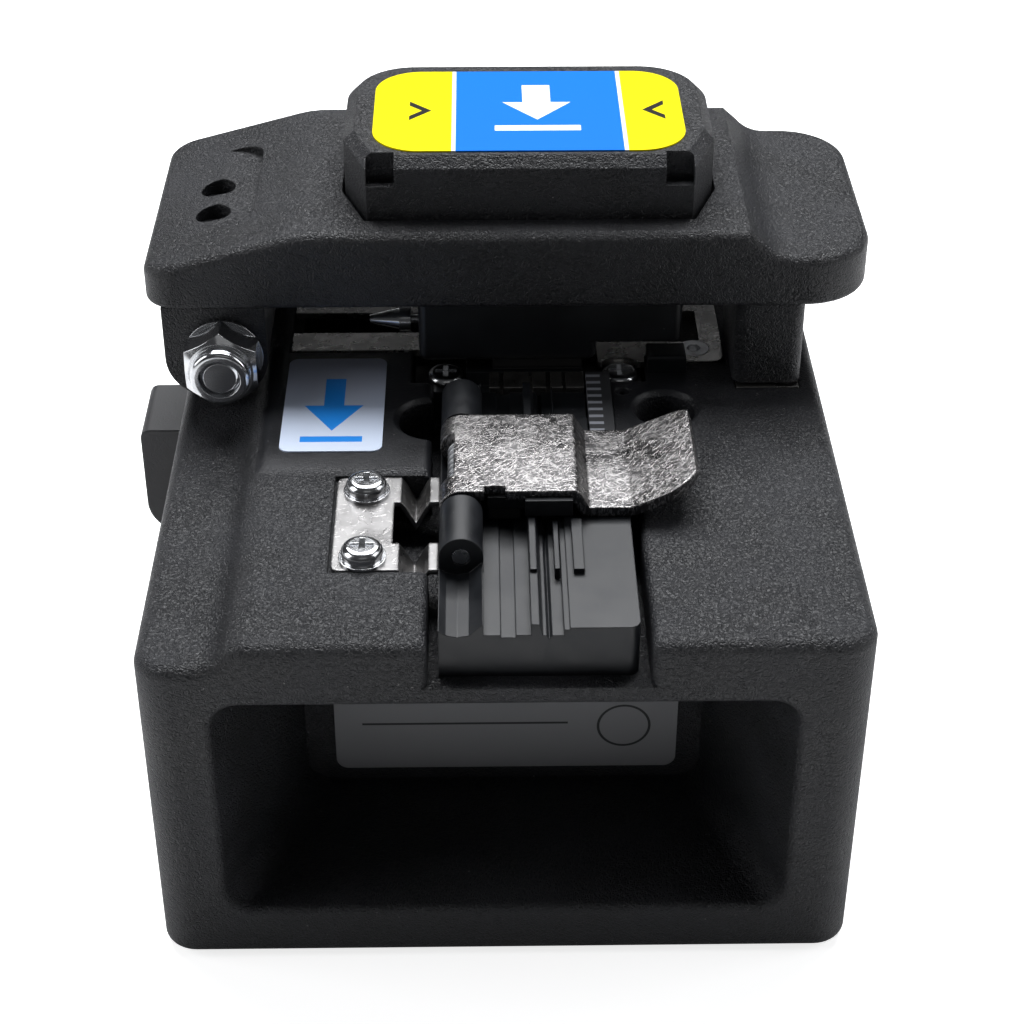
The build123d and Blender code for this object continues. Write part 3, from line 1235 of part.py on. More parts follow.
def blade_washer():
    """Washer between the axle screw's head and the blade wheel."""
    y1 = BLADE_Y - BLADE_T / 2 - RUNNING_FIT
    ring = rod_y(BLADE_X, BLADE_Z, y1 - BLADE_WASHER_T, y1, BLADE_WASHER_R)
    return ring - rod_y(BLADE_X, BLADE_Z, y1 - 2, y1 + 1, BLADE_BORE_R + RUNNING_FIT)


def blade_axle():
    """Axle screw on which the blade wheel turns."""
    y1 = BLADE_Y - BLADE_T / 2 - RUNNING_FIT - BLADE_WASHER_T
    end = BLADE_Y + BLADE_T / 2 + BLADE_HUB_T + CARRIER_WALL_T
    screw = rod_y(BLADE_X, BLADE_Z, y1 - AXLE_HEAD_T, y1, AXLE_HEAD_R)
    screw -= block(
        BLADE_X - AXLE_HEAD_R, BLADE_X + AXLE_HEAD_R, y1 - AXLE_HEAD_T, y1 - AXLE_HEAD_T * 0.4,
        BLADE_Z - 0.35, BLADE_Z + 0.35,
    )
    return screw + rod_y(BLADE_X, BLADE_Z, y1, end, BLADE_BORE_R)


def lever_section():
    """Lever seen from the front: a long ramp up from the left end and a short fall to the right end."""
    left_top = (LEVER_X0, LEVER_Z + LEVER_LEFT_T)
    right_z = LEVER_Z + LEVER_RIGHT_T
    fall = (LEVER_SLOPE_R0 + LEVER_SLOPE_RUN, LEVER_TOP - LEVER_SLOPE_DROP)
    hollow = TangentArc((LEVER_SLOPE_R1, right_z), fall, tangent=(-1, 0))
    rest = Polyline(
        fall, (LEVER_SLOPE_R0, LEVER_TOP), (LEVER_SLOPE_L1, LEVER_TOP), left_top, (LEVER_X0, LEVER_Z),
        (LEVER_X1, LEVER_Z), (LEVER_X1, right_z), (LEVER_SLOPE_R1, right_z),
    )
    face = make_face([hollow, rest])
    brow = [v for v in face.vertices() if abs(v.X - LEVER_SLOPE_L1) < 0.01]
    return fillet(brow, LEVER_BROW_R)


def cap_plan(extra):
    """Plan outline of the press cap, grown by extra: facets at the front corners, round rear corners."""
    x0 = CAP_X0 - extra
    x1 = CAP_X1 + extra
    y0 = y_at(CAP_Y0 - extra)
    y1 = y_at(CAP_Y1 + extra)
    points = [
        (x0, y1), (x0, y0 + CAP_FACET_Y), (x0 + CAP_FACET_X, y0), (x1 - CAP_FACET_X, y0), (x1, y0 + CAP_FACET_Y),
        (x1, y1),
    ]
    face = outline(points)
    return fillet(face.vertices().group_by(Axis.Y)[-1], CAP_REAR_R + extra)


def ear_screw_places():
    """Screws through the lever into the hinge ear, as x and depth."""
    return [(EAR_SCREW_X, EAR_SCREW_Y0), (EAR_SCREW_X, EAR_SCREW_Y0 + EAR_SCREW_PITCH)]


def spot_face():
    """Level place cut in the ramp round the ear's screws, straight to the right."""
    x0 = SPOT_RIGHT - SPOT_W
    return plan_prism(rounded_plan(x0, SPOT_RIGHT, SPOT_Y0, SPOT_Y1, SPOT_R), SPOT_Z, LEVER_TOP + 1)


def head_screw_places():
    """Screws that hold the clamp head under the lever, as x and depth, inside the cap's pocket."""
    x0 = HEAD_X0 + 3.0
    x1 = HEAD_STEP_X1 - 3.0
    y0 = CAP_Y0 + 3.0
    y1 = CAP_Y1 - 3.0
    return [(x0, y0), (x1, y0), (x0, y1), (x1, y1)]


def post_screw_place():
    """Screw that holds the closing post under the lever, as x and depth."""
    return POST_X0 + POST_W / 2, POST_Y0 + POST_L * 0.7


def lever_arm():
    """Lever arm with the pocket for the press cap."""
    arm = section_along_y(lever_section(), LEVER_Y0, LEVER_Y1)
    left = arm.edges().filter_by(Axis.Z).group_by(Axis.X)[0]
    arm = fillet(left, LEVER_LEFT_R)
    right = arm.edges().filter_by(Axis.Z).group_by(Axis.X)[-1]
    arm = fillet(right, LEVER_RIGHT_R)
    rim = []
    for face in arm.faces():
        if face.normal_at().Z > 0.2:
            for edge in face.edges():
                middle = edge.position_at(0.5)
                across = abs(middle.Y - y_at((LEVER_Y0 + LEVER_Y1) / 2)) < (LEVER_Y1 - LEVER_Y0) / 2 - 0.1
                between = LEVER_X0 + LEVER_LEFT_R < middle.X < LEVER_X1 - LEVER_RIGHT_R
                if not (across and between):
                    rim.append(edge)
    arm = fillet(rim, LEVER_EDGE_R)
    arm = fillet(arm.faces().sort_by(Axis.Z)[0].edges(), LEVER_EDGE_R * 0.6)
    arm -= plan_prism(cap_plan(CAP_GAP), CAP_FLOOR_Z, LEVER_TOP + 1)
    arm -= spot_face()
    head_z = SPOT_Z - EAR_HEAD_SINK - EAR_HEAD_H
    for x, y in ear_screw_places():
        arm -= rod_z(x, y, LEVER_Z - 1, LEVER_TOP, EAR_SCREW_R + RUNNING_FIT)
        arm -= rod_z(x, y, head_z, LEVER_TOP + 1, EAR_HEAD_R + RUNNING_FIT)
    for x, y in head_screw_places():
        cut = countersink(HEAD_SCREW_R, HEAD_SCREW_R * 1.9, CAP_FLOOR_Z - LEVER_Z + 2, 0.05)
        arm -= Pos(x, y_at(y), CAP_FLOOR_Z) * cut
    arm -= rod_z(FIBRE_X, BLADE_Y, LEVER_Z - 1, LEVER_TOP, STEM_R + RUNNING_FIT)
    x, y = post_screw_place()
    arm -= rod_z(x, y, LEVER_Z - 1, LEVER_Z + POST_THREAD_L, COVER_SCREW_R + THREAD_FIT)
    return arm


def hinge_ear():
    """Ear under the lever's left end, round below, that turns on the hinge bolt."""
    face = outline([
        (EAR_X0, LEVER_Z), (EAR_X1, LEVER_Z), (EAR_X1, HINGE_Z - EAR_R - 0.6), (EAR_X0, HINGE_Z - EAR_R - 0.6),
    ])
    face = fillet(face.vertices().group_by(Axis.Y)[0], EAR_R)
    ear = section_along_y(face, EAR_Y0, EAR_Y1)
    ear -= rod_y(HINGE_X, HINGE_Z, EAR_Y0 - 1, EAR_Y1 + 1, BUSH_R + 0.02)
    for x, y in ear_screw_places():
        ear -= rod_z(x, y, HINGE_Z, LEVER_Z + 1, EAR_SCREW_R + THREAD_FIT)
    return ear


def ear_screws():
    """Socket-head screws that hold the ear to the lever, sunk in the spot face."""
    head_z = SPOT_Z - EAR_HEAD_SINK - EAR_HEAD_H
    tip_z = HINGE_Z + BUSH_R + 0.25
    screws = []
    for x, y in ear_screw_places():
        head = rod_z(x, y, head_z, head_z + EAR_HEAD_H, EAR_HEAD_R)
        head -= Pos(x, y_at(y), head_z + 0.5) * extrude(RegularPolygon(0.95, 6), EAR_HEAD_H)
        screws.append(head + rod_z(x, y, tip_z, head_z, EAR_SCREW_R))
    return screws


def hinge_bushes():
    """Two bronze bushes in the ear."""
    bushes = []
    for y0 in (EAR_Y0, EAR_Y1 - BUSH_L):
        bush = rod_y(HINGE_X, HINGE_Z, y0, y0 + BUSH_L, BUSH_R)
        bushes.append(bush - rod_y(HINGE_X, HINGE_Z, y0 - 1, y0 + BUSH_L + 1, BOLT_R + RUNNING_FIT))
    return bushes


def hinge_washers():
    """Washers in front of the ear and between the ear and the fixed lug."""
    rings = []
    for y0 in (EAR_Y0 - HINGE_WASHER_T - RUNNING_FIT, EAR_Y1 + RUNNING_FIT):
        ring = rod_y(HINGE_X, HINGE_Z, y0, y0 + HINGE_WASHER_T - RUNNING_FIT, HINGE_WASHER_R)
        rings.append(ring - rod_y(HINGE_X, HINGE_Z, y0 - 1, y0 + 2, BOLT_R + RUNNING_FIT))
    return rings


def nut_front():
    """Depth of the lock nut's front end."""
    return EAR_Y0 - HINGE_WASHER_T - 2 * RUNNING_FIT - NUT_H - NUT_COLLAR_H


def hinge_bolt():
    """Hinge bolt: socket head behind the fixed lug, plain through the ear, threaded at the front."""
    rear = EAR_Y1 + HINGE_WASHER_T + LUG_REAR_L
    bolt = rod_y(HINGE_X, HINGE_Z, nut_front() - BOLT_PROUD, rear, BOLT_R)
    bolt = chamfer(bolt.edges().group_by(Axis.Y)[0], 0.4)
    head = rod_y(HINGE_X, HINGE_Z, rear, rear + BOLT_HEAD_H, BOLT_HEAD_R)
    socket = Pos(HINGE_X, y_at(rear + BOLT_HEAD_H), HINGE_Z) * Rot(90, 0, 0)
    return bolt + head - socket * extrude(RegularPolygon(BOLT_SOCKET_R, 6), BOLT_SOCKET_DEPTH)


def lock_nut():
    """Self-locking nut: a hexagon with a round collar in front."""
    hex_y1 = EAR_Y0 - HINGE_WASHER_T - 2 * RUNNING_FIT
    hexagon = extrude(RegularPolygon(NUT_AF / sqrt(3), 6, rotation=30), NUT_H)
    dome = Pos(0, 0, NUT_H / 2) * Cone(NUT_AF * 0.58 + NUT_H, NUT_AF * 0.46, NUT_H)
    hexagon = hexagon & dome
    nut = Pos(HINGE_X, y_at(hex_y1), HINGE_Z) * Rot(90, 0, 0) * hexagon
    collar = rod_y(HINGE_X, HINGE_Z, nut_front(), hex_y1 - NUT_H + 0.2, NUT_COLLAR_R)
    collar = fillet(collar.edges().group_by(Axis.Y)[0], 0.5)
    return nut + collar - rod_y(HINGE_X, HINGE_Z, nut_front() - 1, hex_y1 + 1, BOLT_R + THREAD_FIT)


def closing_post():
    """Post under the lever's right part, which comes down on the keeper."""
    z0 = TOP_Z + POST_FOOT_GAP
    post = block(POST_X0, POST_X0 + POST_W, POST_Y0, POST_Y0 + POST_L, z0, LEVER_Z)
    post = fillet(post.edges().filter_by(Axis.Z), POST_EDGE_R)
    x, y = post_screw_place()
    post -= rod_z(x, y, z0 - 1, LEVER_Z + 1, COVER_SCREW_R + RUNNING_FIT)
    post -= rod_z(x, y, z0 - 1, z0 + POST_HEAD_DEPTH, KNOB_HEAD_R + RUNNING_FIT)
    x, y = post_magnet_place()
    return post - rod_z(x, y, z0 - 1, z0 + POST_MAGNET_T, POST_MAGNET_R + RUNNING_FIT)


def post_magnet_place():
    """Place of the magnet in the post's foot, as x and depth."""
    return POST_X0 + POST_W / 2, POST_Y0 + POST_L * 0.25


def post_magnet():
    """Disc magnet in the foot of the post."""
    x, y = post_magnet_place()
    z0 = TOP_Z + POST_FOOT_GAP
    return rod_z(x, y, z0, z0 + POST_MAGNET_T, POST_MAGNET_R)


def post_screw():
    """Screw up through the post into the lever."""
    x, y = post_screw_place()
    z0 = TOP_Z + POST_FOOT_GAP
    head = rod_z(x, y, z0 + POST_HEAD_SINK, z0 + POST_HEAD_DEPTH, KNOB_HEAD_R)
    head -= rod_z(x, y, z0 - 1, z0 + 1.5, KNOB_SCREW_R * 0.85)
    return head + rod_z(x, y, z0 + POST_HEAD_DEPTH, LEVER_Z + POST_THREAD_L - 0.2, COVER_SCREW_R)


def press_cap():
    """Hollow press cap on the lever, bevelled round the top, with a notch at each front corner."""
    cap = plan_prism(cap_plan(0), CAP_BOTTOM, CAP_TOP)
    cap = chamfer(cap.faces().sort_by(Axis.Z)[-1].edges(), CAP_BEVEL)
    inner = CAP_INNER_Z
    cap -= plan_prism(cap_plan(-CAP_WALL), CAP_BOTTOM - 1, inner)
    cap += rod_z(FIBRE_X, BLADE_Y, LEVER_TOP, inner + 0.5, STEM_R + 1.6)
    cap -= rod_z(FIBRE_X, BLADE_Y, LEVER_TOP - 1, inner - 0.5, STEM_R + 0.02)
    for x, y in cap_spring_places():
        cap += rod_z(x, y, inner - 1.2, inner + 0.3, CAP_SPRING_R - CAP_SPRING_WIRE_R - 0.15)
    for x0 in (CAP_X0 + CAP_FACET_X, CAP_X1 - CAP_FACET_X - CAP_NOTCH_W):
        cap -= block(x0, x0 + CAP_NOTCH_W, CAP_Y0 - 1, CAP_Y0 + CAP_NOTCH_D, CAP_TOP - CAP_NOTCH_H, CAP_TOP + 1)
    return cap


def cap_label():
    """Label on the top of the press cap."""
    side = CAP_LABEL_SIDE
    face = rounded_plan(
        CAP_X0 + side, CAP_X1 - side, CAP_Y0 + CAP_LABEL_FRONT, CAP_Y1 - CAP_LABEL_REAR, CAP_LABEL_R,
    )
    return plan_prism(face, CAP_TOP, CAP_TOP + LABEL_T)


def cap_spring_places():
    """The cap's two springs, as x and depth, one each side of the stem."""
    middle = (CAP_X0 + CAP_X1) / 2
    y = (CAP_Y0 + CAP_Y1) / 2
    return [(middle - CAP_SPRING_SPAN / 2, y), (middle + CAP_SPRING_SPAN / 2, y)]


def cap_springs():
    """Two compression springs between the lever and the cap."""
    length = CAP_INNER_Z - CAP_FLOOR_Z
    coil = coil_sleeve(CAP_SPRING_R, CAP_SPRING_WIRE_R, CAP_SPRING_TURNS, length)
    middle_z = (CAP_INNER_Z + CAP_FLOOR_Z) / 2
    return [Pos(x, y_at(y), middle_z) * coil for x, y in cap_spring_places()]


def anvil_bottom():
    """Height of the anvil's lower face at rest."""
    return FIBRE_Z + BLADE_BITE + ANVIL_CLEAR + CAP_STROKE


def anvil_stem():
    """Stem from the cap down to the anvil, with a groove for its clip."""
    stem = rod_z(FIBRE_X, BLADE_Y, anvil_bottom() + ANVIL_H, CAP_INNER_Z - 0.5, STEM_R)
    groove_z = LEVER_Z - 0.1 - CLIP_T
    ring = rod_z(FIBRE_X, BLADE_Y, groove_z, groove_z + CLIP_T, STEM_R + 1)
    return stem - (ring - rod_z(FIBRE_X, BLADE_Y, groove_z - 1, groove_z + 2, STEM_R - 0.5))


def stem_clip():
    """Spring clip that stops the stem under the lever, open on one side."""
    z0 = LEVER_Z - 0.1 - CLIP_T
    ring = rod_z(FIBRE_X, BLADE_Y, z0, z0 + CLIP_T, CLIP_R)
    ring -= rod_z(FIBRE_X, BLADE_Y, z0 - 1, z0 + 2, STEM_R - 0.5)
    return ring - block(FIBRE_X - 1.6, FIBRE_X + 1.6, BLADE_Y, BLADE_Y + 6, z0 - 1, z0 + 2)


def anvil():
    """Anvil pad that bends the scored fibre."""
    z0 = anvil_bottom()
    pad = rod_z(FIBRE_X, BLADE_Y, z0, z0 + ANVIL_H, ANVIL_R)
    return fillet(pad.edges().group_by(Axis.Z)[0], 0.4)


def clamp_head():
    """Block under the lever that guides the anvil and holds the two sprung upper pads."""
    z0 = LEVER_Z - HEAD_H
    head = block(HEAD_X0, HEAD_X1, HEAD_Y0, HEAD_REAR, z0, LEVER_Z)
    head += block(HEAD_X1, HEAD_STEP_X1, HEAD_Y0, HEAD_REAR, LEVER_Z - HEAD_STEP_H, LEVER_Z)
    head = fillet(head.edges().filter_by(Axis.Z), 0.8)
    nose = edges_at(head, Axis.X, 0.9, [("y", y_at(HEAD_Y0)), ("z", z0)])
    head = fillet(nose, HEAD_NOSE_R)
    head -= rod_z(FIBRE_X, BLADE_Y, z0 - 1, LEVER_Z + 1, HEAD_BORE_R)
    for y in pad_middles():
        x0, x1, y0, y1 = holder_box(y)
        gap = HOLDER_GAP
        head -= block(x0 - gap, x1 + gap, y0 - gap, y1 + gap, z0 - 1, holder_top() + PAD_STROKE + gap)
    for x, y in head_screw_places():
        head -= rod_z(x, y, LEVER_Z - HEAD_THREAD_L - 0.2, LEVER_Z + 1, HEAD_SCREW_R + THREAD_FIT)
    head -= rod_x(pin_point_y(), pin_point_z(), HEAD_X0 - 1, HEAD_X0 + 1, PIN_POINT_R0 + THREAD_FIT)
    return head


def head_screws():
    """Flat-head screws down through the lever into the clamp head."""
    length = CAP_FLOOR_Z - LEVER_Z + HEAD_THREAD_L
    screw = countersunk_screw(HEAD_SCREW_R, HEAD_SCREW_R * 1.9, length)
    return [Pos(x, y_at(y), CAP_FLOOR_Z) * screw for x, y in head_screw_places()]


def holder_box(y):
    """Plan of an upper pad's holder: x0, x1, y0, y1."""
    return FIBRE_X - PAD_W / 2, FIBRE_X + PAD_W / 2, y - PAD_L / 2, y + PAD_L / 2


def holder_top():
    """Height of the top of an upper pad's holder."""
    return PAD_TOP_Z + PAD_CLEAR + PAD_T + HOLDER_H


def pad_holders():
    """Two sliding holders in the clamp head."""
    z0 = PAD_TOP_Z + PAD_CLEAR + PAD_T
    holders = []
    for y in pad_middles():
        x0, x1, y0, y1 = holder_box(y)
        holder = block(x0, x1, y0, y1, z0, holder_top())
        holder -= rod_z(FIBRE_X, y, holder_top() - SPRING_SEAT_DEPTH, holder_top() + 1, PAD_SPRING_R + 0.4)
        holders.append(holder)
    return holders


def upper_pads():
    """Rubber pads under the two holders."""
    z0 = PAD_TOP_Z + PAD_CLEAR
    pads = []
    for y in pad_middles():
        x0, x1, y0, y1 = holder_box(y)
        pads.append(block(x0, x1, y0, y1, z0, z0 + PAD_T))
    return pads


def pad_springs():
    """Compression springs over the two holders."""
    z0 = holder_top() - SPRING_SEAT_DEPTH
    z1 = holder_top() + PAD_STROKE + HOLDER_GAP
    coil = coil_sleeve(PAD_SPRING_R, PAD_SPRING_WIRE_R, PAD_SPRING_TURNS, z1 - z0)
    return [Pos(FIBRE_X, y_at(y), (z0 + z1) / 2) * coil for y in pad_middles()]


def pin_point_y():
    """Depth of the pointed pin on the clamp head's left side."""
    return BLADE_Y - 5.2


def pin_point_z():
    """Height of the pointed pin."""
    return LEVER_Z - HEAD_H + PIN_DISC_R + 0.2


def pointed_pin():
    """Pointed pin with a bright disc, screwed into the clamp head's left side."""
    y = pin_point_y()
    z = pin_point_z()
    neck = HEAD_X0 - PIN_NECK_L
    disc = rod_x(y, z, neck - PIN_DISC_T, neck, PIN_DISC_R)
    cone = Cone(PIN_POINT_R1, PIN_POINT_R0, PIN_POINT_L)
    point = Pos(neck - PIN_DISC_T - PIN_POINT_L / 2, y_at(y), z) * Rot(0, -90, 0) * cone
    return disc + point + rod_x(y, z, neck, HEAD_X0 + 0.8, PIN_POINT_R0)


PIECES = {
    "body_casting": body_casting,
    "bottom_cover": bottom_cover,
    "cover_screws": cover_screws,
    "base_pad": base_pad,
    "pocket_label": pocket_label,
    "setting_label": setting_label,
    "leaf_spring": leaf_spring,
    "leaf_washers": leaf_washers,
    "leaf_screws": leaf_screws,
    "length_scale": length_scale,
    "lower_seat_front": lower_seat_front,
    "lower_seat_rear": lower_seat_rear,
    "lower_pads": lower_pads,
    "seat_screws": seat_screws,
    "seat_face_plate": seat_face_plate,
    "blade_guard": blade_guard,
    "guard_screws": guard_screws,
    "stop_block": stop_block,
    "keeper_plate": keeper_plate,
    "linear_rail": linear_rail,
    "rail_screws": rail_screws,
    "hinge_bolt": hinge_bolt,
    "hinge_washers": hinge_washers,
    "lock_nut": lock_nut,
    "slide_block": slide_block,
    "blade_carrier": blade_carrier,
    "carrier_screws": carrier_screws,
    "slider_knob_left": lambda: slider_knob(-1),
    "slider_knob_right": lambda: slider_knob(1),
    "knob_screws": knob_screws,
    "blade_axle": blade_axle,
    "blade_washer": blade_washer,
    "blade_wheel": blade_wheel,
    "blade_hub": blade_hub,
    "adapter_base": adapter_base,
    "lid_magnet": lid_magnet,
    "lid_pin": lid_pin,
    "lid_spring": lid_spring,
    "adapter_lid": adapter_lid,
    "lid_holder": lid_holder,
    "lid_pads": lid_pads,
    "lever_arm": lever_arm,
    "hinge_ear": hinge_ear,
    "ear_screws": ear_screws,
    "hinge_bushes": hinge_bushes,
    "closing_post": closing_post,
    "post_magnet": post_magnet,
    "post_screw": post_screw,
    "clamp_head": clamp_head,
    "head_screws": head_screws,
    "pointed_pin": pointed_pin,
    "press_cap": press_cap,
    "cap_label": cap_label,
    "cap_springs": cap_springs,
    "anvil_stem": anvil_stem,
    "stem_clip": stem_clip,
    "anvil": anvil,
    "pad_holders": pad_holders,
    "upper_pads": upper_pads,
    "pad_springs": pad_springs,
}

for name, make in PIECES.items():
    shape = make()
    if isinstance(shape, list):
        shape = Compound(children=[solid for piece in shape for solid in piece.solids()])
    export_step(shape, f"parts/{name}.step")
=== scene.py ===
"""Looks of the desktop fibre cleaver: finishes, labels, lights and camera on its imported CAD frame.

Everything is in metres, in the part's own frame: +X right, +Y to the back, +Z up, with the origin in the
middle of the footprint on the resting plane.
"""

import logging
import math
from dataclasses import dataclass
from enum import Enum

import bpy
import numpy as np
from mathutils import Matrix, Vector


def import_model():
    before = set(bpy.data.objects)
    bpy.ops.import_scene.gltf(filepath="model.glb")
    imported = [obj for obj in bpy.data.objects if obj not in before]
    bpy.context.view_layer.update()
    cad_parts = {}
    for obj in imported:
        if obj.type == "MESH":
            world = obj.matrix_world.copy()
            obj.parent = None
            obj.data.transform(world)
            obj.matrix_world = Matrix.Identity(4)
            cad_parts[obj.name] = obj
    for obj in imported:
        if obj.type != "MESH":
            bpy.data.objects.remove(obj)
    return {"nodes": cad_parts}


LOG = logging.getLogger("cleaver")
MM_PER_M = 1000.0
Socket = bpy.types.NodeSocket
Color = tuple[float, float, float]
Triple = tuple[float, float, float]


def rgba(color: Color, factor: float = 1.0) -> tuple[float, float, float, float]:
    """Opaque colour, each part of it multiplied by a factor."""
    red, green, blue = (part * factor for part in color)
    return red, green, blue, 1.0


class Tree:
    """Short calls for building a node tree."""

    def __init__(self, tree: bpy.types.NodeTree) -> None:
        """Keeps the tree.

        Args:
            tree: the node tree to build in.
        """
        self.tree = tree

    def add(self, kind: str, **settings: object) -> bpy.types.Node:
        """Adds a node.

        Args:
            kind: the node's Blender type name without its ShaderNode prefix.
            settings: properties of the node, such as its operation.

        Returns:
            The new node.
        """
        node = self.tree.nodes.new("ShaderNode" + kind)
        for name, value in settings.items():
            setattr(node, name, value)
        return node

    def feed(self, socket: Socket, value: object) -> None:
        """Links a socket to another socket, or sets its value.

        Args:
            socket: the input to feed.
            value: an output socket, a number or a tuple.
        """
        if isinstance(value, Socket):
            self.tree.links.new(value, socket)
        else:
            socket.default_value = value

    def math(self, operation: str, a: object, b: object = 0.0, clamp: bool = False) -> Socket:
        """Adds a Math node.

        Args:
            operation: the node's operation.
            a: first input.
            b: second input.
            clamp: whether the result is kept between 0 and 1.

        Returns:
            The result's socket.
        """
        node = self.add("Math", operation=operation, use_clamp=clamp)
        self.feed(node.inputs[0], a)
        self.feed(node.inputs[1], b)
        return node.outputs[0]

    def span(
        self, value: object, low: float, high: float, to_low: float = 0.0, to_high: float = 1.0
    ) -> Socket:
        """Maps a value's span to another with a smooth step.

        Args:
            value: the input.
            low: input that gives to_low.
            high: input that gives to_high.
            to_low: result at and below low.
            to_high: result at and above high.

        Returns:
            The result's socket.
        """
        node = self.add("MapRange", interpolation_type="SMOOTHSTEP")
        self.feed(node.inputs["Value"], value)
        node.inputs["From Min"].default_value = low
        node.inputs["From Max"].default_value = high
        node.inputs["To Min"].default_value = to_low
        node.inputs["To Max"].default_value = to_high
        return node.outputs["Result"]

    def mix(self, share: object, a: object, b: object) -> Socket:
        """Mixes two colours.

        Args:
            share: 0 gives a and 1 gives b.
            a: first colour, RGBA.
            b: second colour, RGBA.

        Returns:
            The result's socket.
        """
        node = self.add("Mix", data_type="RGBA")
        self.feed(node.inputs[0], share)
        self.feed(node.inputs[6], a)
        self.feed(node.inputs[7], b)
        return node.outputs[2]

    def noise(
        self, vector: object, scale: object, detail: float = 2.0, rough: float = 0.5, twist: float = 0.0
    ) -> Socket:
        """Adds a Noise texture.

        Args:
            vector: where it is read.
            scale: its scale.
            detail: number of octaves.
            rough: weight of the finer octaves.
            twist: distortion.

        Returns:
            The noise value's socket.
        """
        node = self.add("TexNoise")
        self.feed(node.inputs["Vector"], vector)
        self.feed(node.inputs["Scale"], scale)
        node.inputs["Detail"].default_value = detail
        node.inputs["Roughness"].default_value = rough
        node.inputs["Distortion"].default_value = twist
        return node.outputs["Fac"]

    def place(self) -> Socket:
        """Adds the object's own coordinates, in metres, and returns their socket."""
        return self.add("TexCoord").outputs["Object"]

    def turned(self, vector: object, turn: Triple, size: Triple) -> Socket:
        """Turns and stretches coordinates.

        Args:
            vector: the coordinates.
            turn: rotation in degrees about each axis.
            size: scale along each axis.

        Returns:
            The new coordinates' socket.
        """
        turning = self.add("Mapping")
        self.feed(turning.inputs["Vector"], vector)
        turning.inputs["Rotation"].default_value = [math.radians(a) for a in turn]
        scaling = self.add("Mapping")
        self.feed(scaling.inputs["Vector"], turning.outputs["Vector"])
        scaling.inputs["Scale"].default_value = size
        return scaling.outputs["Vector"]

    def axes(self) -> tuple[Socket, Socket, Socket]:
        """Splits the object's coordinates, counted in millimetres.

        Returns:
            The sockets of x, y and z.
        """
        split = self.add("SeparateXYZ")
        self.feed(split.inputs[0], self.turned(self.place(), (0.0, 0.0, 0.0), (MM_PER_M,) * 3))
        return split.outputs[0], split.outputs[1], split.outputs[2]

    def within(self, value: object, low: float, high: float) -> Socket:
        """Mask of a span.

        Args:
            value: the input.
            low: where the span starts.
            high: where it ends.

        Returns:
            1 inside the span, else 0.
        """
        above = self.math("GREATER_THAN", value, low)
        return self.math("MULTIPLY", above, self.math("LESS_THAN", value, high))

    def box(self, x: object, y: object, x0: float, x1: float, y0: float, y1: float) -> Socket:
        """Mask of a rectangle.

        Args:
            x: first coordinate.
            y: second coordinate.
            x0: left side.
            x1: right side.
            y0: lower side.
            y1: upper side.

        Returns:
            1 inside the rectangle, else 0.
        """
        return self.math("MULTIPLY", self.within(x, x0, x1), self.within(y, y0, y1))

    def wedge(
        self, along: object, across: object, tip: float, middle: float, length: float, half: float
    ) -> Socket:
        """Mask of a triangle.

        Args:
            along: coordinate along its axis.
            across: coordinate across its axis.
            tip: place of its tip along the axis.
            middle: place of its axis.
            length: distance from tip to base, negative when the base lies below the tip.
            half: half the base.

        Returns:
            1 inside the triangle, else 0.
        """
        share = self.math("DIVIDE", self.math("SUBTRACT", along, tip), length)
        side = self.math("DIVIDE", self.math("ABSOLUTE", self.math("SUBTRACT", across, middle)), half)
        return self.math("MULTIPLY", self.math("LESS_THAN", side, share), self.math("LESS_THAN", share, 1.0))

    def arrow(self, x: Socket, y: Socket, mark: "Arrow") -> Socket:
        """Mask of a plain arrow over a bar, pointing to the front.

        Args:
            x: coordinate across the arrow.
            y: coordinate along it.
            mark: its sizes.

        Returns:
            1 inside the arrow and the bar, else 0.
        """
        neck = mark.tip + mark.head_length
        x0, x1 = mark.middle - mark.shaft_half, mark.middle + mark.shaft_half
        shaft = self.box(x, y, x0, x1, neck - mark.overlap, mark.end)
        head = self.wedge(y, x, mark.tip, mark.middle, mark.head_length, mark.head_half)
        x0, x1 = mark.middle - mark.bar_left, mark.middle + mark.bar_right
        bar = self.box(x, y, x0, x1, mark.bar_front, mark.bar_rear)
        return self.math("ADD", self.math("ADD", shaft, head), bar)


@dataclass(frozen=True)
class Arrow:
    """Sizes of a plain arrow over a bar, in millimetres from the origin."""

    middle: float
    tip: float
    head_length: float
    head_half: float
    shaft_half: float
    end: float
    overlap: float
    bar_left: float
    bar_right: float
    bar_front: float
    bar_rear: float


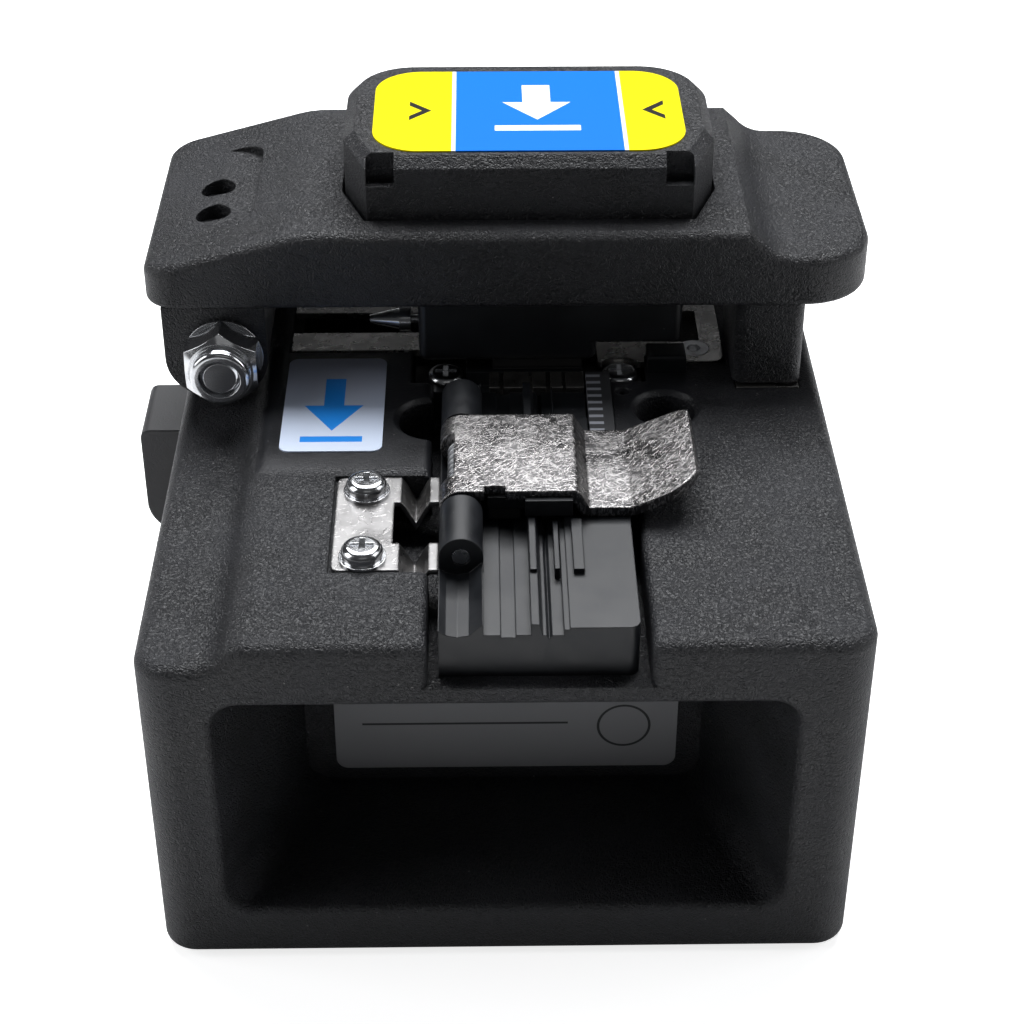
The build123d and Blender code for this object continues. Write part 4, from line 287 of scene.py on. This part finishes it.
class Effects:
    """Node groups that several finishes share. Each is built once."""

    made: dict[str, bpy.types.NodeTree] = {}
    patch_scale = 140.0
    cloud_scale = 260.0
    scratch_angles = (12.0, 51.0, 88.0, 127.0, 160.0)

    @classmethod
    def start(
        cls, name: str, inputs: dict[str, float], outputs: list[str]
    ) -> tuple[Tree, bpy.types.Node, bpy.types.Node]:
        """Makes an empty group with named number sockets.

        Args:
            name: the group's name.
            inputs: input names and their values.
            outputs: output names.

        Returns:
            The tree, its input node and its output node.
        """
        group = bpy.data.node_groups.new(name, "ShaderNodeTree")
        for key, value in inputs.items():
            socket = group.interface.new_socket(key, in_out="INPUT", socket_type="NodeSocketFloat")
            socket.default_value = value
        for key in outputs:
            group.interface.new_socket(key, in_out="OUTPUT", socket_type="NodeSocketFloat")
        tree = Tree(group)
        cls.made[name] = group
        return tree, group.nodes.new("NodeGroupInput"), group.nodes.new("NodeGroupOutput")

    @classmethod
    def grain(cls) -> bpy.types.NodeTree:
        """Pebbled grain of a powder coat: warped noise whose ridges are sharpened, with fine noise on top."""
        if "grain" in cls.made:
            return cls.made["grain"]
        tree, into, out = cls.start("grain", {"Scale": 1600.0, "Fine": 0.3}, ["Height", "Patches"])
        place = tree.place()
        ridges = tree.noise(place, into.outputs["Scale"], 1.5, 0.45, 0.8)
        ridges = tree.math("ABSOLUTE", tree.math("SUBTRACT", ridges, 0.5))
        ridges = tree.math("SUBTRACT", 1.0, tree.math("MULTIPLY", ridges, 4.0), clamp=True)
        fine_scale = tree.math("MULTIPLY", into.outputs["Scale"], 3.1)
        fine = tree.math("MULTIPLY", tree.noise(place, fine_scale, 2.0, 0.6), into.outputs["Fine"])
        tree.feed(out.inputs["Height"], tree.math("ADD", ridges, fine))
        tree.feed(out.inputs["Patches"], tree.noise(place, cls.patch_scale, 3.0, 0.55))
        return cls.made["grain"]

    @classmethod
    def scratches(cls) -> bpy.types.NodeTree:
        """Short fine scratches in five directions: stretched noise, cut to its narrow peaks."""
        if "scratches" in cls.made:
            return cls.made["scratches"]
        tree, into, out = cls.start("scratches", {"Scale": 1.0, "Cut": 0.64}, ["Lines", "Clouds"])
        place = tree.place()
        lines: object = 0.0
        for index, angle in enumerate(cls.scratch_angles):
            turned = tree.turned(place, (0.0, 0.0, angle), (1000.0, 7200.0, 1000.0 + 300.0 * index))
            streak = tree.noise(turned, into.outputs["Scale"], 1.0, 0.5, 0.3)
            peak = tree.math("MULTIPLY", tree.math("SUBTRACT", streak, into.outputs["Cut"]), 14.0, clamp=True)
            lines = tree.math("MAXIMUM", lines, peak)
        tree.feed(out.inputs["Lines"], lines)
        tree.feed(out.inputs["Clouds"], tree.noise(place, cls.cloud_scale, 4.0, 0.6))
        return cls.made["scratches"]

    @classmethod
    def specks(cls) -> bpy.types.NodeTree:
        """Sparse bright specks of dust and chipped coat: noise cut to its highest peaks."""
        if "specks" in cls.made:
            return cls.made["specks"]
        tree, into, out = cls.start("specks", {"Scale": 1900.0, "Cut": 0.74}, ["Mask"])
        place = tree.place()
        spots = tree.noise(place, into.outputs["Scale"], 2.0, 0.55)
        cut = tree.math("MULTIPLY", tree.math("SUBTRACT", spots, into.outputs["Cut"]), 20.0, clamp=True)
        tree.feed(out.inputs["Mask"], cut)
        return cls.made["specks"]


def use_group(tree: Tree, group: bpy.types.NodeTree, **values: object) -> bpy.types.Node:
    """Places a node group.

    Args:
        tree: where it goes.
        group: the group.
        values: inputs by name.

    Returns:
        The group's node.
    """
    node = tree.add("Group", node_tree=group)
    for name, value in values.items():
        tree.feed(node.inputs[name], value)
    return node


def start_material(
    name: str, roughness: float, metallic: float
) -> tuple[bpy.types.Material, Tree, bpy.types.Node]:
    """Makes a material with one Principled shader.

    Args:
        name: the material's name.
        roughness: the shader's roughness.
        metallic: 0 or 1.

    Returns:
        The material, its tree and its shader.
    """
    material = bpy.data.materials.new(name)
    material.use_nodes = True
    tree = Tree(material.node_tree)
    shader = material.node_tree.nodes["Principled BSDF"]
    shader.inputs["Roughness"].default_value = roughness
    shader.inputs["Metallic"].default_value = metallic
    return material, tree, shader


def soft_edge(tree: Tree, radius: float) -> Socket:
    """Normal that rounds sharp edges a little.

    Args:
        tree: the material's tree.
        radius: how far the rounding reaches, in metres.

    Returns:
        The normal's socket.
    """
    bevel = tree.add("Bevel", samples=6)
    bevel.inputs["Radius"].default_value = radius
    return bevel.outputs["Normal"]


def bump(tree: Tree, height: object, distance: float, strength: object, normal: object) -> Socket:
    """Bump from a height.

    Args:
        tree: the material's tree.
        height: the height's socket.
        distance: depth of the relief in metres.
        strength: 0 to 1.
        normal: the normal that it starts from.

    Returns:
        The normal's socket.
    """
    node = tree.add("Bump")
    tree.feed(node.inputs["Height"], height)
    node.inputs["Distance"].default_value = distance
    tree.feed(node.inputs["Strength"], strength)
    tree.feed(node.inputs["Normal"], normal)
    return node.outputs["Normal"]


@dataclass(frozen=True)
class PowderCoat:
    """Black textured coat of the castings. Its grain fades where the top was machined smooth."""

    name: str = "powder_coat"
    color: Color = (0.008, 0.0085, 0.0105)
    grain_scale: float = 2800.0
    grain_depth: float = 0.00011
    edge: float = 0.0003
    speck: Color = (0.35, 0.34, 0.33)
    machined: bool = False
    machined_left: tuple[float, float] = (-0.0245, -0.0235)
    machined_right: tuple[float, float] = (0.0186, 0.0190)
    machined_front: tuple[float, float] = (-0.0102, -0.0080)
    machined_rear: tuple[float, float] = (0.0140, 0.0145)
    machined_top: tuple[float, float] = (0.0360, 0.0364)

    def machined_share(self, tree: Tree) -> Socket:
        """Share of smooth machining: 1 inside a plan rectangle of the top, soft at its edges.

        Args:
            tree: the material's tree.

        Returns:
            The share's socket.
        """
        split = tree.add("SeparateXYZ")
        tree.feed(split.inputs[0], tree.place())
        x, y, z = split.outputs
        across = tree.math(
            "MULTIPLY", tree.span(x, *self.machined_left), tree.span(x, *self.machined_right, 1.0, 0.0)
        )
        along = tree.math(
            "MULTIPLY", tree.span(y, *self.machined_front), tree.span(y, *self.machined_rear, 1.0, 0.0)
        )
        return tree.math("MULTIPLY", across, tree.math("MULTIPLY", along, tree.span(z, *self.machined_top)))

    def build(self) -> bpy.types.Material:
        """Builds the material and returns it."""
        material, tree, shader = start_material(self.name, 0.5, 0.0)
        grain = use_group(tree, Effects.grain(), Scale=self.grain_scale)
        specks = use_group(tree, Effects.specks())
        smooth: object = self.machined_share(tree) if self.machined else 0.0
        rough_share = tree.math("SUBTRACT", 1.0, smooth)
        patches = tree.span(grain.outputs["Patches"], 0.35, 0.7)
        color = tree.mix(patches, rgba(self.color), rgba(self.color, 1.7))
        color = tree.mix(tree.math("MULTIPLY", specks.outputs["Mask"], 0.5), color, rgba(self.speck))
        tree.feed(shader.inputs["Base Color"], color)
        roughness = tree.span(grain.outputs["Patches"], 0.3, 0.75, 0.40, 0.54)
        polished = tree.math("MULTIPLY", smooth, 0.06)
        tree.feed(shader.inputs["Roughness"], tree.math("SUBTRACT", roughness, polished))
        strength = tree.math("ADD", tree.math("MULTIPLY", rough_share, 0.75), 0.15)
        normal = bump(tree, grain.outputs["Height"], self.grain_depth, strength, soft_edge(tree, self.edge))
        tree.feed(shader.inputs["Normal"], normal)
        return material


@dataclass(frozen=True)
class Anodised:
    """Black anodised aluminium: satin, with faint tool lines and tiny specks."""

    name: str = "black_anodised"
    color: Color = (0.006, 0.007, 0.009)
    roughness: float = 0.42
    edge: float = 0.00016
    lines: float = 0.12
    speck: Color = (0.4, 0.4, 0.4)

    def build(self) -> bpy.types.Material:
        """Builds the material and returns it."""
        material, tree, shader = start_material(self.name, self.roughness, 0.0)
        place = tree.place()
        tool = tree.noise(tree.turned(place, (0.0, 0.0, 0.0), (9000.0, 260.0, 9000.0)), 1.0, 2.0, 0.6)
        cloud = tree.noise(place, 320.0, 3.0, 0.6)
        specks = use_group(tree, Effects.specks(), Scale=2600.0, Cut=0.75)
        color = tree.mix(tree.span(cloud, 0.35, 0.7), rgba(self.color), rgba(self.color, 1.6))
        color = tree.mix(tree.math("MULTIPLY", specks.outputs["Mask"], 0.4), color, rgba(self.speck))
        tree.feed(shader.inputs["Base Color"], color)
        rough = tree.span(cloud, 0.3, 0.7, self.roughness - 0.05, self.roughness + 0.09)
        tree.feed(shader.inputs["Roughness"], rough)
        tree.feed(shader.inputs["Normal"], bump(tree, tool, 0.00001, self.lines, soft_edge(tree, self.edge)))
        return material


@dataclass(frozen=True)
class WornNickel:
    """Nickel-plated sheet covered in short fine scratches, bright along its edges."""

    name: str = "worn_nickel"
    color: Color = (0.17, 0.165, 0.165)
    dark: Color = (0.075, 0.073, 0.075)
    cut: float = 0.6
    edge: float = 0.0003
    scratch: Color = (0.62, 0.60, 0.59)
    scratch_depth: float = 0.00002

    def build(self) -> bpy.types.Material:
        """Builds the material and returns it."""
        material, tree, shader = start_material(self.name, 0.3, 1.0)
        marks = use_group(tree, Effects.scratches(), Cut=self.cut)
        share = tree.span(marks.outputs["Clouds"], 0.25, 0.75, 0.25, 0.75)
        color = tree.mix(share, rgba(self.dark), rgba(self.color))
        color = tree.mix(tree.math("MULTIPLY", marks.outputs["Lines"], 0.8), color, rgba(self.scratch))
        tree.feed(shader.inputs["Base Color"], color)
        rough = tree.span(marks.outputs["Clouds"], 0.3, 0.7, 0.26, 0.4)
        shine = tree.math("MULTIPLY", marks.outputs["Lines"], 0.08)
        tree.feed(shader.inputs["Roughness"], tree.math("SUBTRACT", rough, shine))
        normal = bump(tree, marks.outputs["Lines"], self.scratch_depth, 0.55, soft_edge(tree, self.edge))
        tree.feed(shader.inputs["Normal"], normal)
        return material


@dataclass(frozen=True)
class PlainMetal:
    """Bare or plated metal with fine lines along one axis and faint stains."""

    name: str
    color: Color
    roughness: float = 0.2
    line_size: Triple = (700.0, 700.0, 9000.0)
    relief: float = 0.12
    edge: float = 0.0001
    line_depth: float = 0.000008

    def build(self) -> bpy.types.Material:
        """Builds the material and returns it."""
        material, tree, shader = start_material(self.name, self.roughness, 1.0)
        place = tree.place()
        lines = tree.noise(tree.turned(place, (0.0, 0.0, 0.0), self.line_size), 1.0, 2.0, 0.6)
        cloud = tree.noise(place, 420.0, 3.0, 0.6)
        color = tree.mix(tree.span(cloud, 0.3, 0.7), rgba(self.color, 0.72), rgba(self.color))
        tree.feed(shader.inputs["Base Color"], color)
        rough = tree.span(cloud, 0.3, 0.75, self.roughness + 0.1, self.roughness - 0.04)
        tree.feed(shader.inputs["Roughness"], rough)
        normal = bump(tree, lines, self.line_depth, self.relief, soft_edge(tree, self.edge))
        tree.feed(shader.inputs["Normal"], normal)
        return material


@dataclass(frozen=True)
class SoftBlack:
    """Black rubber or moulded plastic with a fine even grain."""

    name: str
    color: Color = (0.02, 0.02, 0.021)
    roughness: float = 0.6
    grain_scale: float = 3200.0
    grain_depth: float = 0.00002
    edge: float = 0.0003

    def build(self) -> bpy.types.Material:
        """Builds the material and returns it."""
        material, tree, shader = start_material(self.name, self.roughness, 0.0)
        grain = use_group(tree, Effects.grain(), Scale=self.grain_scale, Fine=0.5)
        patches = grain.outputs["Patches"]
        color = tree.mix(tree.span(patches, 0.35, 0.7), rgba(self.color), rgba(self.color, 1.5))
        tree.feed(shader.inputs["Base Color"], color)
        rough = tree.span(patches, 0.3, 0.7, self.roughness - 0.06, self.roughness + 0.06)
        tree.feed(shader.inputs["Roughness"], rough)
        normal = bump(tree, grain.outputs["Height"], self.grain_depth, 0.35, soft_edge(tree, self.edge))
        tree.feed(shader.inputs["Normal"], normal)
        return material


@dataclass(frozen=True)
class CapLabel:
    """Film on the press cap: yellow, blue and yellow blocks with a plain white arrow and dark chevrons."""

    name: str = "cap_label_film"
    yellow: Color = (1.0, 0.86, 0.0)
    blue: Color = (0.005, 0.19, 0.80)
    white: Color = (0.9, 0.92, 0.95)
    dark: Color = (0.02, 0.02, 0.02)
    block: tuple[float, float] = (-4.3, 12.1)
    left_line: tuple[float, float] = (-4.6, -4.2)
    right_line: tuple[float, float] = (12.0, 12.4)
    arrow: Arrow = Arrow(3.8, 17.4, 4.1, 3.4, 1.4, 25.6, 0.1, 4.2, 4.2, 14.9, 16.1)
    chevron_tips: tuple[float, float] = (-6.6, 14.2)
    chevron_y: float = 19.6
    chevron_size: float = 2.2
    chevron_stroke: float = 0.45

    def build(self) -> bpy.types.Material:
        """Builds the material and returns it."""
        material, tree, shader = start_material(self.name, 0.35, 0.0)
        shader.inputs["Specular IOR Level"].default_value = 0.15
        x, y, _ = tree.axes()
        color = tree.mix(tree.within(x, *self.block), rgba(self.yellow), rgba(self.blue))
        lines = tree.math("ADD", tree.within(x, *self.left_line), tree.within(x, *self.right_line))
        drawn = tree.math("ADD", lines, tree.arrow(x, y, self.arrow), clamp=True)
        color = tree.mix(drawn, color, rgba(self.white))
        chevrons: object = 0.0
        size = self.chevron_size
        for tip, length in zip(self.chevron_tips, (-size, size)):
            outer = tree.wedge(x, y, tip, self.chevron_y, length, size)
            inner = tree.wedge(x, y, tip + length * self.chevron_stroke, self.chevron_y, length, size)
            chevrons = tree.math("ADD", chevrons, tree.math("SUBTRACT", outer, inner, clamp=True))
        tree.feed(shader.inputs["Base Color"], tree.mix(chevrons, color, rgba(self.dark)))
        return material


@dataclass(frozen=True)
class SettingLabel:
    """White film that turns darker grey-blue towards the back, with a plain blue arrow over a bar. The darker
    back end is partly painted shade where the lever's shadow falls.
    """

    name: str = "setting_label_film"
    near: Color = (0.72, 0.82, 1.0)
    # painted shade: the back end of the label is coloured darker for the lever's shadow that falls there
    far_tint_and_shade: Color = (0.42, 0.46, 0.58)
    blue: Color = (0.01, 0.28, 0.9)
    fade: tuple[float, float] = (-5.0, 9.0)
    arrow: Arrow = Arrow(-16.4, -2.2, 4.6, 2.9, 1.0, 7.4, 0.0, 3.0, 3.0, -4.2, -3.2)

    def build(self) -> bpy.types.Material:
        """Builds the material and returns it."""
        material, tree, shader = start_material(self.name, 0.4, 0.0)
        x, y, _ = tree.axes()
        # the gradient towards the back is partly painted shade of the lever's shadow
        color = tree.mix(tree.span(y, *self.fade), rgba(self.near), rgba(self.far_tint_and_shade))
        mark = tree.math("MINIMUM", tree.arrow(x, y, self.arrow), 1.0)
        tree.feed(shader.inputs["Base Color"], tree.mix(mark, color, rgba(self.blue)))
        return material


@dataclass(frozen=True)
class PocketLabel:
    """Grey film with a plain rule and a plain ring."""

    name: str = "pocket_label_film"
    film: Color = (0.24, 0.24, 0.25)
    dark: Color = (0.02, 0.02, 0.022)
    rule_x: tuple[float, float] = (-13.6, 6.2)
    rule_z: tuple[float, float] = (13.9, 14.15)
    ring_middle: tuple[float, float] = (11.6, 13.6)
    ring_radii: tuple[float, float] = (2.35, 2.6)

    def build(self) -> bpy.types.Material:
        """Builds the material and returns it."""
        material, tree, shader = start_material(self.name, 0.45, 0.0)
        x, _, z = tree.axes()
        rule = tree.box(x, z, *self.rule_x, *self.rule_z)
        away_x = tree.math("POWER", tree.math("SUBTRACT", x, self.ring_middle[0]), 2.0)
        away_z = tree.math("POWER", tree.math("SUBTRACT", z, self.ring_middle[1]), 2.0)
        ring = tree.within(tree.math("SQRT", tree.math("ADD", away_x, away_z)), *self.ring_radii)
        drawn = tree.math("ADD", rule, ring)
        tree.feed(shader.inputs["Base Color"], tree.mix(drawn, rgba(self.film), rgba(self.dark)))
        return material


@dataclass(frozen=True)
class TickedStrip:
    """Dark strip with pale graduation lines along its left side."""

    name: str = "ticked_strip"
    strip: Color = (0.03, 0.031, 0.034)
    tick: Color = (0.24, 0.25, 0.28)
    pitch: float = 1.25
    start: float = -100.0
    tick_share: tuple[float, float] = (0.25, 0.62)
    tick_x: tuple[float, float] = (8.4, 9.95)

    def build(self) -> bpy.types.Material:
        """Builds the material and returns it."""
        material, tree, shader = start_material(self.name, 0.42, 0.0)
        x, y, _ = tree.axes()
        phase = tree.math("FRACT", tree.math("DIVIDE", tree.math("ADD", y, -self.start), self.pitch))
        ticks = tree.math("MULTIPLY", tree.within(phase, *self.tick_share), tree.within(x, *self.tick_x))
        tree.feed(shader.inputs["Base Color"], tree.mix(ticks, rgba(self.strip), rgba(self.tick)))
        return material


class Finish(Enum):
    """The finishes of the CAD nodes."""

    CAP_LABEL = CapLabel()
    SETTING_LABEL = SettingLabel()
    POCKET_LABEL = PocketLabel()
    STRIP = TickedStrip()
    BODY_COAT = PowderCoat("body_coat", machined=True)
    COAT = PowderCoat("lever_coat")
    ANODISED = Anodised()
    NICKEL = WornNickel()
    SPRING_SHEET = WornNickel("spring_sheet", (0.34, 0.335, 0.33), (0.22, 0.215, 0.215), 0.7)
    GUARD_PLATE = PlainMetal("guard_plate", (0.86, 0.84, 0.81), 0.22, (300.0, 6000.0, 300.0), 0.2)
    FACE_PLATE = PlainMetal("face_plate", (0.66, 0.64, 0.61), 0.3)
    BRIGHT = PlainMetal("bright_plate", (0.84, 0.85, 0.87), 0.14)
    GROUND = PlainMetal("ground_steel", (0.55, 0.56, 0.58), 0.26)
    HARD = PlainMetal("hard_metal", (0.36, 0.37, 0.39), 0.22)
    BRONZE = PlainMetal("bronze", (0.55, 0.38, 0.2), 0.34)
    ALUMINIUM = PlainMetal("plain_aluminium", (0.62, 0.63, 0.65), 0.38, (9000.0, 300.0, 9000.0), 0.25)
    OXIDE = SoftBlack("black_oxide", (0.03, 0.03, 0.034), 0.4, 5200.0, 0.000008, 0.0001)
    RUBBER = SoftBlack("black_rubber")
    PLASTIC = SoftBlack("knob_plastic", (0.03, 0.03, 0.032), 0.48, 2400.0, 0.00003, 0.0004)


NODE_FINISHES: dict[Finish, tuple[str, ...]] = {
    Finish.CAP_LABEL: ("cap_label",),
    Finish.SETTING_LABEL: ("setting_label",),
    Finish.POCKET_LABEL: ("pocket_label",),
    Finish.STRIP: ("length_scale",),
    Finish.BODY_COAT: ("body_casting",),
    Finish.COAT: ("lever_arm", "press_cap", "closing_post", "hinge_ear"),
    Finish.ANODISED: (
        "adapter_base", "clamp_head", "lower_seat_front", "lower_seat_rear", "stop_block",
        "lid_holder", "pad_holders",
    ),
    Finish.NICKEL: ("adapter_lid",),
    Finish.SPRING_SHEET: ("leaf_spring",),
    Finish.GUARD_PLATE: ("blade_guard", "keeper_plate"),
    Finish.FACE_PLATE: ("seat_face_plate",),
    Finish.BRIGHT: (
        "leaf_washers", "leaf_screws", "seat_screws", "guard_screws", "hinge_bolt", "hinge_washers",
        "lock_nut", "pointed_pin", "post_magnet", "lid_magnet",
    ),
    Finish.GROUND: (
        "linear_rail", "slide_block", "blade_axle", "blade_washer", "blade_hub", "anvil_stem", "lid_pin",
        "lid_spring", "cap_springs", "pad_springs", "stem_clip",
    ),
    Finish.HARD: ("blade_wheel",),
    Finish.BRONZE: ("hinge_bushes",),
    Finish.ALUMINIUM: ("bottom_cover", "blade_carrier"),
    Finish.OXIDE: (
        "cover_screws", "rail_screws", "carrier_screws", "knob_screws", "ear_screws", "post_screw",
        "head_screws",
    ),
    Finish.RUBBER: ("base_pad", "lower_pads", "upper_pads", "lid_pads", "anvil"),
    Finish.PLASTIC: ("slider_knob_left", "slider_knob_right"),
}


def dress_nodes(frame: dict) -> None:
    """Gives each CAD node its finish.
    """
    for finish, nodes in NODE_FINISHES.items():
        material = finish.value.build()
        for node in nodes:
            mesh = frame["nodes"][node].data
            mesh.materials.clear()
            mesh.materials.append(material)
            LOG.info("%s dressed in %s", node, material.name)
    LOG.info("finishes on %d nodes", sum(len(nodes) for nodes in NODE_FINISHES.values()))


@dataclass(frozen=True)
class Lamp:
    """One rectangular area light that faces the object."""

    name: str
    place: Triple
    size: tuple[float, float]
    power: float
    color: Color = (0.97, 0.98, 1.0)
    aim: Triple = (0.0, 0.0, 0.03)

    def build(self) -> None:
        """Makes the light and turns it to the object."""
        data = bpy.data.lights.new(self.name, "AREA")
        data.shape = "RECTANGLE"
        data.size, data.size_y = self.size
        data.energy = self.power
        data.color = self.color
        lamp = bpy.data.objects.new(self.name, data)
        bpy.context.scene.collection.objects.link(lamp)
        turn = (Vector(self.aim) - Vector(self.place)).to_track_quat("-Z", "Y")
        lamp.matrix_world = Matrix.Translation(self.place) @ turn.to_matrix().to_4x4()


@dataclass
class Studio:
    """Floor, soft lights and camera."""

    camera_place: Triple = (-0.00185, -0.18205, 0.15175)
    yaw: float = 0.926
    down: float = 34.739
    roll: float = 0.0977
    focal: float = 2203.26
    picture: float = 1024.0
    lamps: tuple[Lamp, ...] = (
        Lamp("overhead", (0.0, 0.26, 0.5), (0.5, 0.34), 4.9),
        Lamp("side_left", (-0.5, -0.05, 0.28), (0.3, 0.4), 1.0),
        Lamp("side_right", (0.5, 0.0, 0.3), (0.3, 0.4), 0.8),
        Lamp("front", (0.05, -0.5, 0.5), (0.4, 0.2), 0.05, (1.0, 1.0, 1.0)),
    )
    world_color: Color = (0.75, 0.77, 0.8)
    world_strength: float = 0.05
    floor_half: float = 3.0
    floor_color: Color = (0.9, 0.9, 0.9)
    floor_seen: float = 0.78
    floor_mirrored: float = 0.03

    def camera(self) -> None:
        """Makes the camera: it looks along its yaw and downward angle, with a small roll."""
        yaw, down, roll = (math.radians(a) for a in (self.yaw, self.down, self.roll))
        ahead = Vector((math.sin(yaw) * math.cos(down), math.cos(yaw) * math.cos(down), -math.sin(down)))
        right = ahead.cross(Vector((0.0, 0.0, 1.0))).normalized()
        up = right.cross(ahead)
        right, up = (
            math.cos(roll) * right + math.sin(roll) * up,
            math.cos(roll) * up - math.sin(roll) * right,
        )
        data = bpy.data.cameras.new("camera")
        data.lens = data.sensor_width * self.focal / self.picture
        data.clip_start, data.clip_end = 0.01, 10.0
        camera = bpy.data.objects.new("camera", data)
        bpy.context.scene.collection.objects.link(camera)
        turn = Matrix((right, up, -ahead)).transposed().to_4x4()
        camera.matrix_world = Matrix.Translation(self.camera_place) @ turn
        bpy.context.scene.camera = camera

    def lights(self) -> None:
        """Hangs the soft lights and sets the world's even light."""
        for lamp in self.lamps:
            lamp.build()
        world = bpy.data.worlds.new("world")
        world.use_nodes = True
        background = world.node_tree.nodes["Background"]
        background.inputs["Color"].default_value = rgba(self.world_color)
        background.inputs["Strength"].default_value = self.world_strength
        bpy.context.scene.world = world

    def floor(self) -> None:
        """Lays the pale floor: white to the camera, faint in reflections, with the soft shadow kept."""
        corners = self.floor_half * np.array([(-1, -1, 0), (1, -1, 0), (1, 1, 0), (-1, 1, 0)], float)
        mesh = bpy.data.meshes.new("floor")
        mesh.from_pydata(corners.tolist(), [], [(0, 1, 2, 3)])
        material, tree, shader = start_material("floor", 0.9, 0.0)
        shader.inputs["Base Color"].default_value = rgba(self.floor_color)
        path = tree.add("LightPath")
        glow = tree.add("Emission")
        glow.inputs["Color"].default_value = (1.0, 1.0, 1.0, 1.0)
        seen = tree.math("MULTIPLY", path.outputs["Is Camera Ray"], self.floor_seen)
        mirrored = tree.math("MULTIPLY", path.outputs["Is Glossy Ray"], self.floor_mirrored)
        tree.feed(glow.inputs["Strength"], tree.math("ADD", seen, mirrored))
        both = tree.add("AddShader")
        tree.feed(both.inputs[0], shader.outputs[0])
        tree.feed(both.inputs[1], glow.outputs[0])
        output = material.node_tree.nodes["Material Output"]
        tree.feed(output.inputs["Surface"], both.outputs[0])
        mesh.materials.append(material)
        floor = bpy.data.objects.new("floor", mesh)
        bpy.context.scene.collection.objects.link(floor)


def main() -> None:
    """Builds the looks in order."""
    logging.basicConfig(level=logging.INFO)
    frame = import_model()
    bpy.context.view_layer.update()
    dress_nodes(frame)
    studio = Studio()
    studio.camera()
    studio.lights()
    studio.floor()
    bpy.context.scene.view_settings.view_transform = "Standard"


if __name__ == "__main__":
    main()
